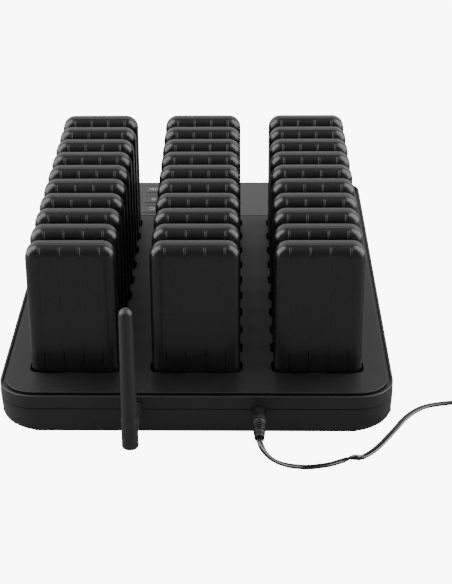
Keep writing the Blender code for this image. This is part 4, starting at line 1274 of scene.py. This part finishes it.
def makeElbow():
    pivot = Vector(antenna["pivot"])
    profile = [(0, -6.5), (2.3, -6.5), (2.3, 2.6), (5.8, 2.6), (6.2, 3.0), (6.2, 20.6), (6.05, 21.6),
               (5.4, 22.6), (4.6, 23.2), (0, 23.2)]
    made = turnPiece("antennaElbow", profile, antennaSeat, "-Y", 48)
    width, radius = (value * mm for value in antenna["tongue"])
    tongue = addBlock("tongue", (pivot.x - width / 2, pivot.y, pivot.z - radius),
                      (pivot.x + width / 2, pivot.y + 14.5 * mm, pivot.z + radius))
    cutWith(made, tongue, operation="UNION")
    cutWith(made, addDrum("eye", pivot, radius, width, "X", 32), operation="UNION")
    cutWith(made, addDrum("hole", pivot, antenna["eyeHole"], 20 * mm, "X", 24))
    return finishPiece(made, looks["antenna"], "antenna_elbow", ("antenna_elbow",), 30)


def makePin():
    radius, length = (value * mm for value in antenna["pin"])
    pin = addDrum("antennaPin", antenna["pivot"], radius, length, "X", 28)
    for side in (-1, 1):
        bevelEdges(pin, inPlane(0, antenna["pivot"][0] + side * length / 2), 0.25 * mm, 2)
    return finishPiece(pin, looks["steel"], "antenna_elbow", ("antenna_pin",), 30)


def makeKnuckle():
    pivot = Vector(antenna["pivot"])
    radius, bottom, top = antenna["knuckle"]
    profile = [(0, bottom), (radius - 1.1, bottom), (radius - 0.4, bottom + 0.3), (radius, bottom + 1),
               (radius, top - 0.15), (radius - 0.12, top), (0, top)]
    made = turnPiece("antennaKnuckle", profile, (pivot.x, pivot.y, 0), "Z", 56)
    width, frontWall, roof = (value * mm for value in antenna["slot"])
    slot = addBlock("slot", (pivot.x - width / 2, pivot.y - frontWall, 5 * mm),
                    (pivot.x + width / 2, pivot.y + 10 * mm, roof))
    bevelEdges(slot, inPlane(2, roof, lambda middle: middle.y < pivot.y), 0.8 * mm, 3)
    cutWith(made, slot)
    cutWith(made, addDrum("hole", pivot, antenna["forkHole"], 20 * mm, "X", 24))
    return finishPiece(made, looks["antenna"], "antenna_rod", ("antenna_knuckle",), 30)


def makeSleeve():
    pivot = Vector(antenna["pivot"])
    low, high, foot, tip = antenna["sleeve"]
    ring = antenna["ringZ"]
    slope = (foot - tip) / (high - tip - low)
    atRing = foot - slope * (ring - low)
    profile = [(0, low), (foot - 0.1, low), (foot, low + 0.1), (atRing + 0.02, ring - 0.4),
               (atRing - 0.1, ring - 0.15), (atRing - 0.1, ring + 0.15), (atRing, ring + 0.4)]
    steps = 8
    for step in range(steps + 1):
        angle = radians(90 * step / steps)
        profile.append((tip * math.cos(angle), high - tip + tip * math.sin(angle)))
    made = turnPiece("antennaSleeve", profile, (pivot.x, pivot.y, 0), "Z", 56)
    return finishPiece(made, looks["antenna"], "antenna_rod", ("antenna_sleeve",), 30)


for makeIt in (makeBush, makeElbow, makePin, makeKnuckle, makeSleeve):
    makeIt()


def makeJack():
    profile = [(0, -16), (5.9, -16), (5.9, -2.7), (5.3, -2.7), (5.3, -0.3), (5.0, 0), (3.4, 0), (3.1, -0.3),
               (3.1, -11.5), (1.0, -11.5), (1.0, -1.9), (0.6, -1.5), (0, -1.5)]
    made = turnPiece("powerJack", profile, inletSeat, "-Y", 44)
    return finishPiece(made, looks["jack"], "base", ("power_jack",), 30)


makeJack()
print("antenna and jack made")
